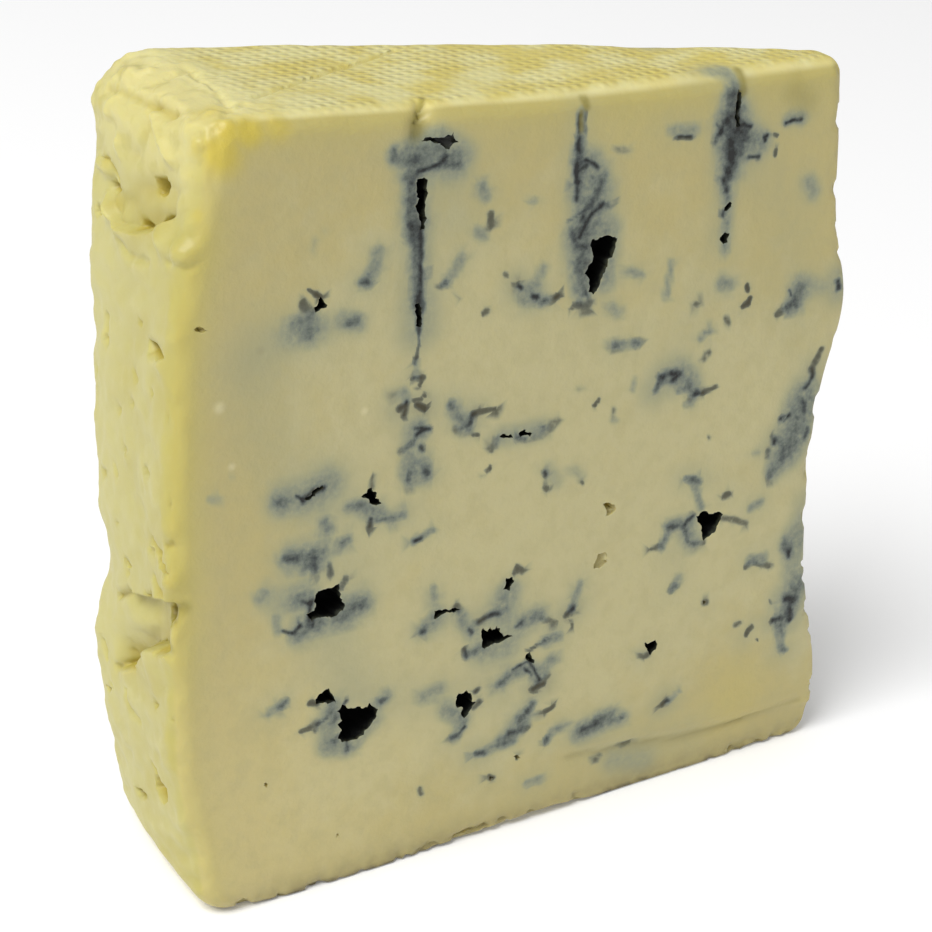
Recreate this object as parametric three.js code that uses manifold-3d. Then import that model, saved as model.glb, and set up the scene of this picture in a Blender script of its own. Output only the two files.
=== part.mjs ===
// Blue cheese wedge: a sector of a drum-shaped wheel, cut off short of the wheel's centre and stood on the
// wheel's flat base. Millimetres, +Z up. The cut face with the eyes looks along -Y, the rind is at -X and the
// blunt tip at +X. Places are given as along (from the rind), deep (from the front cut face) and up (from
// the base).

import * as THREE from "three";
import { ImprovedNoise } from "three/addons/math/ImprovedNoise.js";
import { mergeVertices } from "three/addons/utils/BufferGeometryUtils.js";
import Module from "manifold-3d";

// Driving dimensions
const HEIGHT_AT_RIND = 105;
const HEIGHT_AT_TIP = 101;
const FACE_LENGTH = 96; // cut face, rind to tip, where the tip is shortest
const WHEEL_RADIUS = 160;
const RIND_WIDTH = 35; // thickness at the rind, along the top
const RIND_WIDTH_LOSS = 3; // the back cut leans, so the base is this much thinner
const TIP_WIDTH = 6;
const BACK_BOW = 3.6; // the back cut swells this much between rind and tip
const FRONT_TOP_DIP = 1; // the front edge of the top sinks this much between rind and tip
const RIM_DRAW_TOP = 4; // the rind leans in this much from half height to the top, at the front cut
const RIM_DRAW_BACK_SHARE = 0.35; // and this share of it at the back cut
const RIM_DRAW_BASE = 2.4; // it leans in this much from half height to the base

// Roundings where two faces meet
const RIM_ROUND_FRONT = 3.5;
const RIM_ROUND_BACK = 7.5;
const BASE_ROUND = 4;
const TIP_ROUND = 2.4;
const CUT_ROUND = 0.8;

// The wedge stands on a flat middle, and the margins of its base are drawn up a little all round it
const STANDING_CORNERS = [
  { along: 9, deep: 2.5 },
  { along: 94, deep: 2.5 },
  { along: 94, deep: 3.5 },
  { along: 11, deep: 27 },
];
const BASE_MARGIN_RISE = THREE.MathUtils.degToRad(4);

// Swellings of the tip edge: height of the middle, reach up and down, and how far it stands out
const TIP_SWELLS = [
  { up: 67, reach: 9.5, out: 3.2 },
  { up: 8, reach: 15, out: 4.6 },
];

// Steps of the surface grid along, across and up
const GRID_ALONG = 20;
const GRID_DEEP = 12;
const GRID_UP = 36;
const GRID_CROWDING = 0.45; // share by which the grid is closer at the edges than in the middle

// Rind relief: soft lumps, a fold under the rim, a broken hollow at the front edge, an uneven back edge
const LUMP_SIZE = 7;
const LUMP_HEIGHT = 0.55;
const RIND_SKIN = 3; // the relief dies away over this far into the top and the cut faces
const RELIEF_START_UP = 1;
const RELIEF_FULL_UP = 5;
const RIND_FORMS = [
  { deep: 7, up: 87.5, reachDeep: 5, reachUp: 3.5, out: 1.3 },
  { deep: 14, up: 90.5, reachDeep: 9, reachUp: 2.6, out: -1.3 },
  { deep: 26, up: 87, reachDeep: 5, reachUp: 5, out: -0.8 },
  { deep: 6, up: 40, reachDeep: 8, reachUp: 6, out: -1.7 },
  { deep: 1, up: 47.5, reachDeep: 4, reachUp: 3, out: 0.7 },
  { deep: 33, up: 38, reachDeep: 6, reachUp: 4.5, out: -1.5 },
  { deep: 33, up: 25, reachDeep: 7, reachUp: 8, out: 1.2 },
];

// Low knife step on the front face: the face below it is set back
const STEP_START_ALONG = 56;
const STEP_RUN_IN = 0.3; // share of the step's length over which it deepens
const STEP_UP_AT_START = 8.5;
const STEP_UP_AT_TIP = 5;
const STEP_SET_BACK = 0.6;
const STEP_SOFTNESS = 0.6;

// Eyes open to the front face. A tilt in degrees leans the eye's top towards the tip.
const FRONT_EYES = [
  { along: 18, up: 81, wide: 1.8, high: 2.8, tilt: 10, depth: 3 },
  { along: 58.4, up: 79.2, wide: 3.2, high: 8, tilt: 14, depth: 5 },
  { along: 25.5, up: 54.2, wide: 3.2, high: 2.7, tilt: 0, depth: 4 },
  { along: 17, up: 56.4, wide: 4.2, high: 1.2, tilt: -25, depth: 3 },
  { along: 20, up: 41.1, wide: 4.2, high: 4.4, tilt: 0, depth: 6 },
  { along: 23.8, up: 23.2, wide: 6, high: 5.2, tilt: 20, depth: 7 },
  { along: 19.6, up: 28, wide: 2.7, high: 2.4, tilt: 30, depth: 4 },
  { along: 44.7, up: 30, wide: 4.6, high: 3.4, tilt: 0, depth: 5 },
  { along: 40.8, up: 21.3, wide: 3.3, high: 3.4, tilt: -20, depth: 5 },
  { along: 50.2, up: 25.4, wide: 1.4, high: 2.2, tilt: 10, depth: 3 },
  { along: 46.5, up: 37.3, wide: 1.8, high: 2.6, tilt: 25, depth: 3 },
  { along: 37.3, up: 35.4, wide: 3.6, high: 1.5, tilt: -10, depth: 3 },
  { along: 56.6, up: 30.8, wide: 2.3, high: 1.4, tilt: -35, depth: 3 },
  { along: 47.9, up: 58.1, wide: 1.9, high: 1.5, tilt: 0, depth: 2.5 },
  { along: 79, up: 38.4, wide: 4, high: 4.3, tilt: 30, depth: 6 },
  { along: 70.4, up: 21.7, wide: 2.5, high: 1.9, tilt: -15, depth: 3 },
  { along: 77.8, up: 83.8, wide: 1.3, high: 2, tilt: 0, depth: 2.5 },
  { along: 77.5, up: 79.6, wide: 1.3, high: 2.1, tilt: 0, depth: 2.5 },
  { along: 61.8, up: 44.4, wide: 2.1, high: 2.2, tilt: 0, depth: 1.4 },
  { along: 60.9, up: 37.3, wide: 2.2, high: 1.9, tilt: 0, depth: 1.4 },
];

// Needle tracks: the ripening wheel is pierced from its top, and the cut runs down three of the holes
const NEEDLE_SLOTS = [
  { along: 31.3, up: 102, wide: 2.4, high: 8, tilt: 0, depth: 2 },
  { along: 34, up: 98.4, wide: 4.6, high: 1.4, tilt: -10, depth: 2 },
  { along: 31.5, up: 91, wide: 1.6, high: 8, tilt: 0, depth: 4 },
  { along: 31.6, up: 77, wide: 1.4, high: 4.4, tilt: 0, depth: 3 },
  { along: 54.2, up: 101, wide: 1.5, high: 5, tilt: 0, depth: 1.4 },
  { along: 54.1, up: 93, wide: 1.2, high: 11, tilt: 0, depth: 1.6 },
  { along: 78.1, up: 98.5, wide: 1.5, high: 8, tilt: 0, depth: 1.8 },
];

// Pits in the rind, by their place back from the front edge
const RIND_PITS = [
  { deep: 11.5, up: 94, wide: 1.8, high: 2.4, depth: 1.6 },
  { deep: 27.7, up: 88.9, wide: 2.6, high: 2.6, depth: 1.4 },
  { deep: 10.3, up: 75.1, wide: 3, high: 1.8, depth: 1.3 },
  { deep: 6, up: 75.5, wide: 2.2, high: 2, depth: 1.2 },
  { deep: 16.9, up: 43.1, wide: 2, high: 1.8, depth: 1.2 },
  { deep: 10.8, up: 41.8, wide: 2.2, high: 1.8, depth: 1.4 },
  { deep: 10.9, up: 35.2, wide: 3.6, high: 2.4, depth: 2 },
  { deep: 5.2, up: 37, wide: 3.2, high: 3, depth: 2.2 },
  { deep: 1.8, up: 43.2, wide: 3, high: 3.4, depth: 2.4 },
  { deep: 18.3, up: 9, wide: 2.4, high: 2, depth: 1.4 },
  { deep: 9.7, up: 15, wide: 1.8, high: 4, depth: 1.4 },
];

// Eyes of the hidden back cut, spread by a seeded draw to match the front
const BACK_EYE_COUNT = 12;
const BACK_EYE_MARGIN = 12;
const BACK_EYE_LEAST = 2;
const BACK_EYE_SPREAD = 3;
const BACK_EYE_FLATTEST = 0.6; // height as a share of width
const BACK_EYE_TALLEST = 1.2;
const BACK_EYE_TILT = 90;
const BACK_EYE_SEED = 11;

// Lumpiness of an eye's wall, as a share of its radius
const EYE_LUMPS = 0.32;
const EYE_LUMP_PITCH = 1.7;
const EYE_FACETS = 2;
const PIT_FACETS = 1;
const SMALL_EYE = 2.5; // an eye under this size has as few facets as a pit

const CHEESE_COLOUR = 0xd8cd96;
const MERGE_WITHIN = 1e-3;
const SLOPE_STEP = 0.05; // for the slope of the distance to the surface
const ROUNDING_PASSES = 8;

const noise = new ImprovedNoise();
const wasm = await Module();
wasm.setup();

// Faces of the sharp wedge

function swell(t) {
  return 4 * t * (1 - t);
}

function topHeight(along, deep) {
  const share = THREE.MathUtils.clamp(along / FACE_LENGTH, 0, 1);
  const toBack = THREE.MathUtils.clamp(deep / backDepth(along, HEIGHT_AT_RIND), 0, 1);
  const dip = FRONT_TOP_DIP * swell(share) * (1 - toBack);
  return THREE.MathUtils.lerp(HEIGHT_AT_RIND, HEIGHT_AT_TIP, share) - dip;
}

function backDepth(along, up) {
  const share = along / FACE_LENGTH;
  const lean = RIND_WIDTH_LOSS * (1 - up / HEIGHT_AT_RIND) * (1 - share);
  return THREE.MathUtils.lerp(RIND_WIDTH, TIP_WIDTH, share) + BACK_BOW * swell(share) - lean;
}

function rimDraw(deep, up) {
  const offset = (2 * up) / HEIGHT_AT_RIND - 1;
  if (offset < 0) return RIM_DRAW_BASE * offset ** 4;
  const share = THREE.MathUtils.clamp(deep / RIND_WIDTH, 0, 1);
  return RIM_DRAW_TOP * offset ** 2 * THREE.MathUtils.lerp(1, RIM_DRAW_BACK_SHARE, share);
}

function rindAlong(deep, up) {
  return WHEEL_RADIUS - Math.sqrt(WHEEL_RADIUS ** 2 - deep ** 2) + rimDraw(deep, up);
}

function tipAlong(up) {
  let along = FACE_LENGTH;
  for (const one of TIP_SWELLS) along += one.out * Math.exp(-(((up - one.up) / one.reach) ** 2));
  return along;
}

function knifeStep(along, up) {
  const share = (along - STEP_START_ALONG) / (FACE_LENGTH - STEP_START_ALONG);
  const edge = THREE.MathUtils.lerp(STEP_UP_AT_START, STEP_UP_AT_TIP, share);
  const below = THREE.MathUtils.smoothstep(edge - up, -STEP_SOFTNESS, STEP_SOFTNESS);
  return STEP_SET_BACK * below * THREE.MathUtils.smoothstep(share, 0, STEP_RUN_IN);
}

// Distance to the rounded wedge, negative inside

function roundMeet(a, b, radius) {
  return Math.min(Math.max(a, b), -radius) + Math.hypot(Math.max(a + radius, 0), Math.max(b + radius, 0));
}

function wedgeDistance(p) {
  const rind = Math.hypot(WHEEL_RADIUS - p.x, p.y) - WHEEL_RADIUS + rimDraw(p.y, p.z);
  const tip = p.x - tipAlong(p.z);
  const top = p.z - topHeight(p.x, p.y);
  const base = -p.z;
  const front = knifeStep(p.x, p.z) - p.y;
  const back = p.y - backDepth(p.x, p.z);
  const rimRound = THREE.MathUtils.mapLinear(p.y, 0, RIND_WIDTH, RIM_ROUND_FRONT, RIM_ROUND_BACK);
  const rims = roundMeet(roundMeet(rind, top, rimRound), base, BASE_ROUND);
  const outline = roundMeet(rims, tip, TIP_ROUND);
  return roundMeet(roundMeet(outline, front, CUT_ROUND), back, CUT_ROUND);
}

function outward(p) {
  const slope = new THREE.Vector3();
  for (const axis of ["x", "y", "z"]) {
    const ahead = p.clone();
    const behind = p.clone();
    ahead[axis] += SLOPE_STEP;
    behind[axis] -= SLOPE_STEP;
    slope[axis] = wedgeDistance(ahead) - wedgeDistance(behind);
  }
  return slope.divideScalar(2 * SLOPE_STEP);
}

// Relief that stands out of the rind or sinks into it

function rindRelief(p) {
  const onRind = 1 - THREE.MathUtils.smoothstep(p.x - rindAlong(p.y, p.z), 0, RIND_SKIN);
  const offBase = THREE.MathUtils.smoothstep(p.z, RELIEF_START_UP, RELIEF_FULL_UP);
  let out = LUMP_HEIGHT * noise.noise(p.x / LUMP_SIZE, p.y / LUMP_SIZE, p.z / LUMP_SIZE);
  for (const form of RIND_FORMS) {
    const across = (p.y - form.deep) / form.reachDeep;
    const over = (p.z - form.up) / form.reachUp;
    out += form.out * Math.exp(-(across ** 2) - over ** 2);
  }
  return out * onRind * offBase;
}

// Solids

function solidOf(geometry) {
  geometry.deleteAttribute("normal");
  geometry.deleteAttribute("uv");
  const merged = mergeVertices(geometry, MERGE_WITHIN);
  const vertProperties = new Float32Array(merged.attributes.position.array);
  const triVerts = new Uint32Array(merged.index.array);
  return new wasm.Manifold(new wasm.Mesh({ numProp: 3, vertProperties, triVerts }));
}

function crowdEdges(t) {
  return t - (GRID_CROWDING * Math.sin(2 * Math.PI * t)) / (2 * Math.PI);
}

function wedgeSolid() {
  const geometry = new THREE.BoxGeometry(1, 1, 1, GRID_ALONG, GRID_DEEP, GRID_UP);
  const places = geometry.attributes.position;
  const p = new THREE.Vector3();
  for (let i = 0; i < places.count; i++) {
    const share = p.fromBufferAttribute(places, i).addScalar(0.5).clone();
    const along = FACE_LENGTH * crowdEdges(share.x);
    p.z = crowdEdges(share.z) * topHeight(along, share.y * RIND_WIDTH);
    p.y = crowdEdges(share.y) * backDepth(along, p.z);
    p.x = THREE.MathUtils.lerp(rindAlong(p.y, p.z), tipAlong(p.z), crowdEdges(share.x));
    for (let pass = 0; pass < ROUNDING_PASSES; pass++) {
      const slope = outward(p);
      p.addScaledVector(slope, -wedgeDistance(p) / slope.lengthSq());
    }
    p.addScaledVector(outward(p).normalize(), rindRelief(p));
    places.setXYZ(i, p.x, p.y, p.z);
  }
  return solidOf(geometry);
}

// An eye is a lumpy ellipsoid whose middle lies on the face that it opens to
function eyeSolid({ wide, high, depth, tilt = 0, turn = 0, facets }, place) {
  const geometry = new THREE.IcosahedronGeometry(1, facets);
  const points = geometry.attributes.position;
  const p = new THREE.Vector3();
  for (let i = 0; i < points.count; i++) {
    p.fromBufferAttribute(points, i).normalize();
    const at = p.clone().multiplyScalar(EYE_LUMP_PITCH).add(place);
    p.multiplyScalar(1 + EYE_LUMPS * noise.noise(at.x, at.y, at.z));
    points.setXYZ(i, p.x, p.y, p.z);
  }
  geometry.scale(wide / 2, depth, high / 2);
  geometry.rotateY(THREE.MathUtils.degToRad(tilt));
  geometry.rotateZ(turn);
  geometry.translate(place.x, place.y, place.z);
  return solidOf(geometry);
}

function* frontEyes() {
  for (const eye of [...FRONT_EYES, ...NEEDLE_SLOTS]) {
    const facets = Math.max(eye.wide, eye.high) < SMALL_EYE ? PIT_FACETS : EYE_FACETS;
    yield eyeSolid({ ...eye, facets }, new THREE.Vector3(eye.along, 0, eye.up));
  }
}

function* rindPits() {
  for (const pit of RIND_PITS) {
    const place = new THREE.Vector3(rindAlong(pit.deep, pit.up), pit.deep, pit.up);
    yield eyeSolid({ ...pit, turn: -Math.PI / 2, facets: PIT_FACETS }, place);
  }
}

function* backEyes() {
  let seed = BACK_EYE_SEED;
  const draw = () => THREE.MathUtils.seededRandom(seed++);
  for (let i = 0; i < BACK_EYE_COUNT; i++) {
    const along = THREE.MathUtils.lerp(BACK_EYE_MARGIN, FACE_LENGTH - BACK_EYE_MARGIN, draw());
    const up = THREE.MathUtils.lerp(BACK_EYE_MARGIN, HEIGHT_AT_TIP - BACK_EYE_MARGIN, draw());
    const wide = BACK_EYE_LEAST + BACK_EYE_SPREAD * draw() ** 2;
    const high = wide * THREE.MathUtils.lerp(BACK_EYE_FLATTEST, BACK_EYE_TALLEST, draw());
    const place = new THREE.Vector3(along, backDepth(along, up), up);
    yield eyeSolid({ wide, high, depth: wide, tilt: BACK_EYE_TILT * draw(), facets: PIT_FACETS }, place);
  }
}

// Trims the base along a plane through each side of the flat middle, rising outwards
function drawUpBaseMargins(solid) {
  STANDING_CORNERS.forEach((from, i) => {
    const to = STANDING_CORNERS[(i + 1) % STANDING_CORNERS.length];
    const inward = new THREE.Vector3(from.deep - to.deep, to.along - from.along, 0).normalize();
    const above = inward.multiplyScalar(Math.sin(BASE_MARGIN_RISE)).setZ(Math.cos(BASE_MARGIN_RISE));
    const offset = above.dot(new THREE.Vector3(from.along, from.deep, 0));
    solid = solid.trimByPlane(above.toArray(), offset);
  });
  return solid;
}

function cheeseWedge() {
  let solid = drawUpBaseMargins(wedgeSolid());
  for (const cutter of [...frontEyes(), ...rindPits(), ...backEyes()]) solid = solid.subtract(cutter);
  const { vertProperties, triVerts } = solid.getMesh();
  const geometry = new THREE.BufferGeometry();
  geometry.setAttribute("position", new THREE.BufferAttribute(vertProperties, 3));
  geometry.setIndex(new THREE.BufferAttribute(triVerts, 1));
  geometry.computeBoundingBox();
  const middle = geometry.boundingBox.getCenter(new THREE.Vector3());
  geometry.translate(-middle.x, -middle.y, -geometry.boundingBox.min.z);
  geometry.computeVertexNormals();
  const paste = new THREE.MeshStandardMaterial({ color: CHEESE_COLOUR, roughness: 0.5, metalness: 0 });
  const mesh = new THREE.Mesh(geometry, paste);
  mesh.name = "cheese_wedge";
  return mesh;
}

const wedge = new THREE.Group();
wedge.add(cheeseWedge());

export default wedge;
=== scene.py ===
import math
import random

import bmesh
import bpy
import numpy as np
from mathutils import Matrix, Vector, noise


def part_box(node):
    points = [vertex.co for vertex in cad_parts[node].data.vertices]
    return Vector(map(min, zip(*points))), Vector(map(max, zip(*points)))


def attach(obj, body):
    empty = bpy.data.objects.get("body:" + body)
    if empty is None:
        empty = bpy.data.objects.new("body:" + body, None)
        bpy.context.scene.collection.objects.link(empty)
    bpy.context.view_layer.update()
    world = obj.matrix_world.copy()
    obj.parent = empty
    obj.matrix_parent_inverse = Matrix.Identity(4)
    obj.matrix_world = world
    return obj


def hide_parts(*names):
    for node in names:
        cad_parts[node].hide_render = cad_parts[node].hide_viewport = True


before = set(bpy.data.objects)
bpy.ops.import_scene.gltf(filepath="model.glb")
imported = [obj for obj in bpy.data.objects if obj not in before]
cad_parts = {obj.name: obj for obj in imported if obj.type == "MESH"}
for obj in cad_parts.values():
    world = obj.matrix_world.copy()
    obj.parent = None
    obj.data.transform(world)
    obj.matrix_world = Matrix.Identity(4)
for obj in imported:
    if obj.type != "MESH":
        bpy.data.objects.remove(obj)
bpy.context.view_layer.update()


# The block: a wedge of soft blue cheese in its thin yellow rind, cut with a wire from a drum-shaped wheel.
# Two long cuts run towards the wheel's middle, and a short one takes the thin tip off.
# Sizes are in millimetres: along from the rind, deep from the front cut and up from the base.
MM = 0.001
HEIGHT_AT_RIND, HEIGHT_AT_TIP = 105, 101
FACE_LENGTH = 96
WHEEL_RADIUS = 160
RIND_WIDTH, TIP_WIDTH = 35, 6
RIND_WIDTH_LOSS = 3  # the back cut leans, so the base is this much thinner
BACK_BOW = 3.6
FRONT_TOP_DIP = 1
RIM_DRAW_TOP, RIM_DRAW_BACK_SHARE, RIM_DRAW_BASE = 4, 0.35, 2.4
RIM_ROUND_FRONT, RIM_ROUND_BACK, BASE_ROUND, TIP_ROUND, CUT_ROUND = 3.5, 7.5, 4, 2.4, 0.8
EDGE_BULGE, EDGE_BULGE_REACH = 1.8, 9  # the front edge of the rind bulges out between rim and base
BULGE_BASE, BULGE_RIM = (8, 24), (80, 96)  # heights between which the bulge grows and fades
SKIN_SAG, SKIN_SAG_REACH = 2, 9  # the soft skin sags over the cuts' edges, so they are rounder there
TIP_SWELLS = ((67, 9.5, 3.2), (8, 15, 4.6))  # up, reach, and how far the tip stands out there
STEP_START, STEP_RUN_IN, STEP_UP, STEP_UP_AT_TIP = 56, 0.3, 8.5, 5  # low step where the knife turned
STEP_SET_BACK, STEP_SOFTNESS = 0.6, 0.6

# The cut coordinates' origin in the frame, from the CAD part's box: its front and the tip's furthest point
cad_low, cad_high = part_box("cheese_wedge")
tip_reach = FACE_LENGTH + TIP_SWELLS[1][2]
cut_origin = np.array([cad_high.x / MM - tip_reach, cad_low.y / MM, 0])


def ramp(value, start, end):
    """0 before start, 1 after end, and a soft rise between them."""
    share = np.clip((value - start) / (end - start), 0, 1)
    return share * share * (3 - 2 * share)


def swell(share):
    return 4 * share * (1 - share)


def back_depth(along, up):
    share = along / FACE_LENGTH
    lean = RIND_WIDTH_LOSS * (1 - up / HEIGHT_AT_RIND) * (1 - share)
    return RIND_WIDTH + (TIP_WIDTH - RIND_WIDTH) * share + BACK_BOW * swell(share) - lean


def top_height(along, deep):
    share = np.clip(along / FACE_LENGTH, 0, 1)
    to_back = np.clip(deep / back_depth(along, HEIGHT_AT_RIND), 0, 1)
    dip = FRONT_TOP_DIP * swell(share) * (1 - to_back)
    return HEIGHT_AT_RIND + (HEIGHT_AT_TIP - HEIGHT_AT_RIND) * share - dip


def rim_draw(deep, up):
    """How far the rind is drawn in towards its rim and its base, less the bulge of its front edge."""
    offset = 2 * up / HEIGHT_AT_RIND - 1
    back_share = 1 + (RIM_DRAW_BACK_SHARE - 1) * np.clip(deep / RIND_WIDTH, 0, 1)
    drawn_in = np.where(offset < 0, RIM_DRAW_BASE * offset**4, RIM_DRAW_TOP * offset**2 * back_share)
    bulge = np.exp(-((deep / EDGE_BULGE_REACH) ** 2)) * ramp(up, *BULGE_BASE) * (1 - ramp(up, *BULGE_RIM))
    return drawn_in - EDGE_BULGE * bulge


def rind_along(deep, up):
    return WHEEL_RADIUS - np.sqrt(WHEEL_RADIUS**2 - deep**2) + rim_draw(deep, up)


def tip_along(up):
    return FACE_LENGTH + sum(out * np.exp(-(((up - at) / reach) ** 2)) for at, reach, out in TIP_SWELLS)


def knife_step(along, up):
    share = (along - STEP_START) / (FACE_LENGTH - STEP_START)
    edge = STEP_UP + (STEP_UP_AT_TIP - STEP_UP) * share
    below = ramp(edge - up, -STEP_SOFTNESS, STEP_SOFTNESS)
    return STEP_SET_BACK * below * ramp(share, 0, STEP_RUN_IN)


def round_meet(a, b, radius):
    """Distance from two faces that meet in a rounded edge, from the distance to each."""
    corner = np.hypot(np.maximum(a + radius, 0), np.maximum(b + radius, 0))
    return np.minimum(np.maximum(a, b), -radius) + corner


def skin_distance(along, deep, up):
    """Distance from the rind and the top, which meet in a rounded rim, negative inside."""
    rind = np.hypot(WHEEL_RADIUS - along, deep) - WHEEL_RADIUS + rim_draw(deep, up)
    rim_round = RIM_ROUND_FRONT + (RIM_ROUND_BACK - RIM_ROUND_FRONT) * deep / RIND_WIDTH
    return round_meet(rind, up - top_height(along, deep), rim_round)


def wedge_distance(p):
    """Distance of each point from the rounded wedge, negative inside."""
    along, deep, up = p.T
    skin = skin_distance(along, deep, up)
    outline = round_meet(round_meet(skin, -up, BASE_ROUND), along - tip_along(up), TIP_ROUND)
    cut_round = CUT_ROUND + SKIN_SAG * np.exp(-((np.minimum(skin, 0) / SKIN_SAG_REACH) ** 2))
    front_cut = round_meet(outline, knife_step(along, up) - deep, cut_round)
    return round_meet(front_cut, deep - back_depth(along, up), cut_round)


def outward(p, step=0.05):
    slope = np.empty_like(p)
    for axis in range(3):
        ahead = np.eye(3)[axis] * step
        slope[:, axis] = (wedge_distance(p + ahead) - wedge_distance(p - ahead)) / (2 * step)
    return slope


def points_of(mesh):
    flat = np.empty(len(mesh.vertices) * 3)
    mesh.vertices.foreach_get("co", flat)
    return flat.reshape(-1, 3)


def set_points(mesh, p):
    mesh.vertices.foreach_set("co", p.ravel())
    mesh.update()


CELLS = (78, 28, 84)  # along, deep and up; the skin in view and the front cut's border are then halved
BORDER = 0.075  # width of that border, as a share of the face
CROWDING = 0.3  # share by which the cells are narrower at the edges than in the middle
SQUARE_ON = 0.9  # a face or an edge counts as lying along an axis past this


def read_faces(what):
    """A value of each face of the wedge, such as its centre."""
    flat = np.empty(len(wedge.data.polygons) * 3)
    wedge.data.polygons.foreach_get(what, flat)
    return flat.reshape(-1, 3)


def cut_finer(chosen, cuts):
    bpy.ops.object.mode_set(mode="EDIT")
    bpy.ops.mesh.select_mode(type="FACE")
    bpy.ops.mesh.select_all(action="DESELECT")
    mesh = bmesh.from_edit_mesh(wedge.data)
    for face, pick in zip(mesh.faces, chosen):
        face.select_set(bool(pick))
    bmesh.update_edit_mesh(wedge.data)
    bpy.ops.mesh.subdivide(number_cuts=cuts)
    bpy.ops.object.mode_set(mode="OBJECT")


def settle(p, passes):
    """Moves the points onto the wedge's surface."""
    p = p.copy()
    for _ in range(passes):
        slope = outward(p)
        p -= slope * (wedge_distance(p) / np.einsum("ij,ij->i", slope, slope))[:, None]
    return p


bpy.ops.object.select_all(action="DESELECT")
bpy.ops.mesh.primitive_cube_add(size=1, location=(0.5, 0.5, 0.5))
wedge = bpy.context.object
wedge.name = wedge.data.name = "blue_cheese"
bpy.ops.object.transform_apply(location=True)
bpy.ops.object.mode_set(mode="EDIT")
for axis, cells in enumerate(CELLS):
    bpy.ops.mesh.select_mode(type="EDGE")
    bpy.ops.mesh.select_all(action="DESELECT")
    mesh = bmesh.from_edit_mesh(wedge.data)
    for edge in mesh.edges:
        run = edge.verts[0].co - edge.verts[1].co
        edge.select_set(abs(run[axis]) > SQUARE_ON)
    bmesh.update_edit_mesh(wedge.data)
    bpy.ops.mesh.subdivide(number_cuts=cells - 1)
bpy.ops.object.mode_set(mode="OBJECT")
facing, centres = read_faces("normal"), read_faces("center")
in_border = (np.abs(centres[:, [0, 2]] - 0.5) > 0.5 - BORDER).any(axis=1)
skin_in_view = (facing[:, 0] < -SQUARE_ON) | (facing[:, 2] > SQUARE_ON)
cut_finer(skin_in_view | (facing[:, 1] < -SQUARE_ON) & in_border, cuts=1)

share = points_of(wedge.data)
share -= CROWDING * np.sin(2 * math.pi * share) / (2 * math.pi)
up = share[:, 2] * top_height(share[:, 0] * FACE_LENGTH, share[:, 1] * RIND_WIDTH)
deep = share[:, 1] * back_depth(share[:, 0] * FACE_LENGTH, up)
rind_here = rind_along(deep, up)
along = rind_here + (tip_along(up) - rind_here) * share[:, 0]
set_points(wedge.data, settle(np.column_stack([along, deep, up]), passes=8))


# Relief of the skin: the rind is lumpy and creased, with pits, a fold under the rim and a broken hollow at
# the front edge. The top is drawn and creased by the cloth that the wheel was pressed in.
RIND_SKIN = 3  # the skin's relief fades out this far under it
RIM_BLEND = 2  # half width of the change from rind to top
RIND_FORMS = (  # wide dents and swells: deep, up, reach deep, reach up, out
    (28, 89.5, 3, 3, -0.7),
    (9, 40.5, 5, 3, -0.8),
    (33, 38, 6, 4.5, -1.5),
    (33, 25, 7, 8, 1.2),
)
FOLDS = (  # out and reach above, out and reach below, then the line as deep and up
    # the fold under the rim
    (-1.3, 4.5, 0.5, 2, (5.9, 91.9), (8.3, 90.5), (10.6, 89.1), (12, 88.7), (15.6, 87.4), (20.9, 86.3),
        (23.5, 86.9), (26.7, 88.6)),
    # lower lip of the broken hollow
    (-2.2, 4, 0.5, 2.2, (2, 38.5), (4.8, 37.9), (10.3, 35.4), (13.7, 32.3), (16.8, 29.3), (21.6, 26.5)),
    # its roof
    (0.5, 1.6, -1.3, 2.4, (0.9, 45.7), (3.5, 45), (9.8, 42), (17.1, 39.2)),
)
FOLD_EDGE, FOLD_END = 0.45, 1.5  # half width of a fold's step, and of its fading ends
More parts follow.
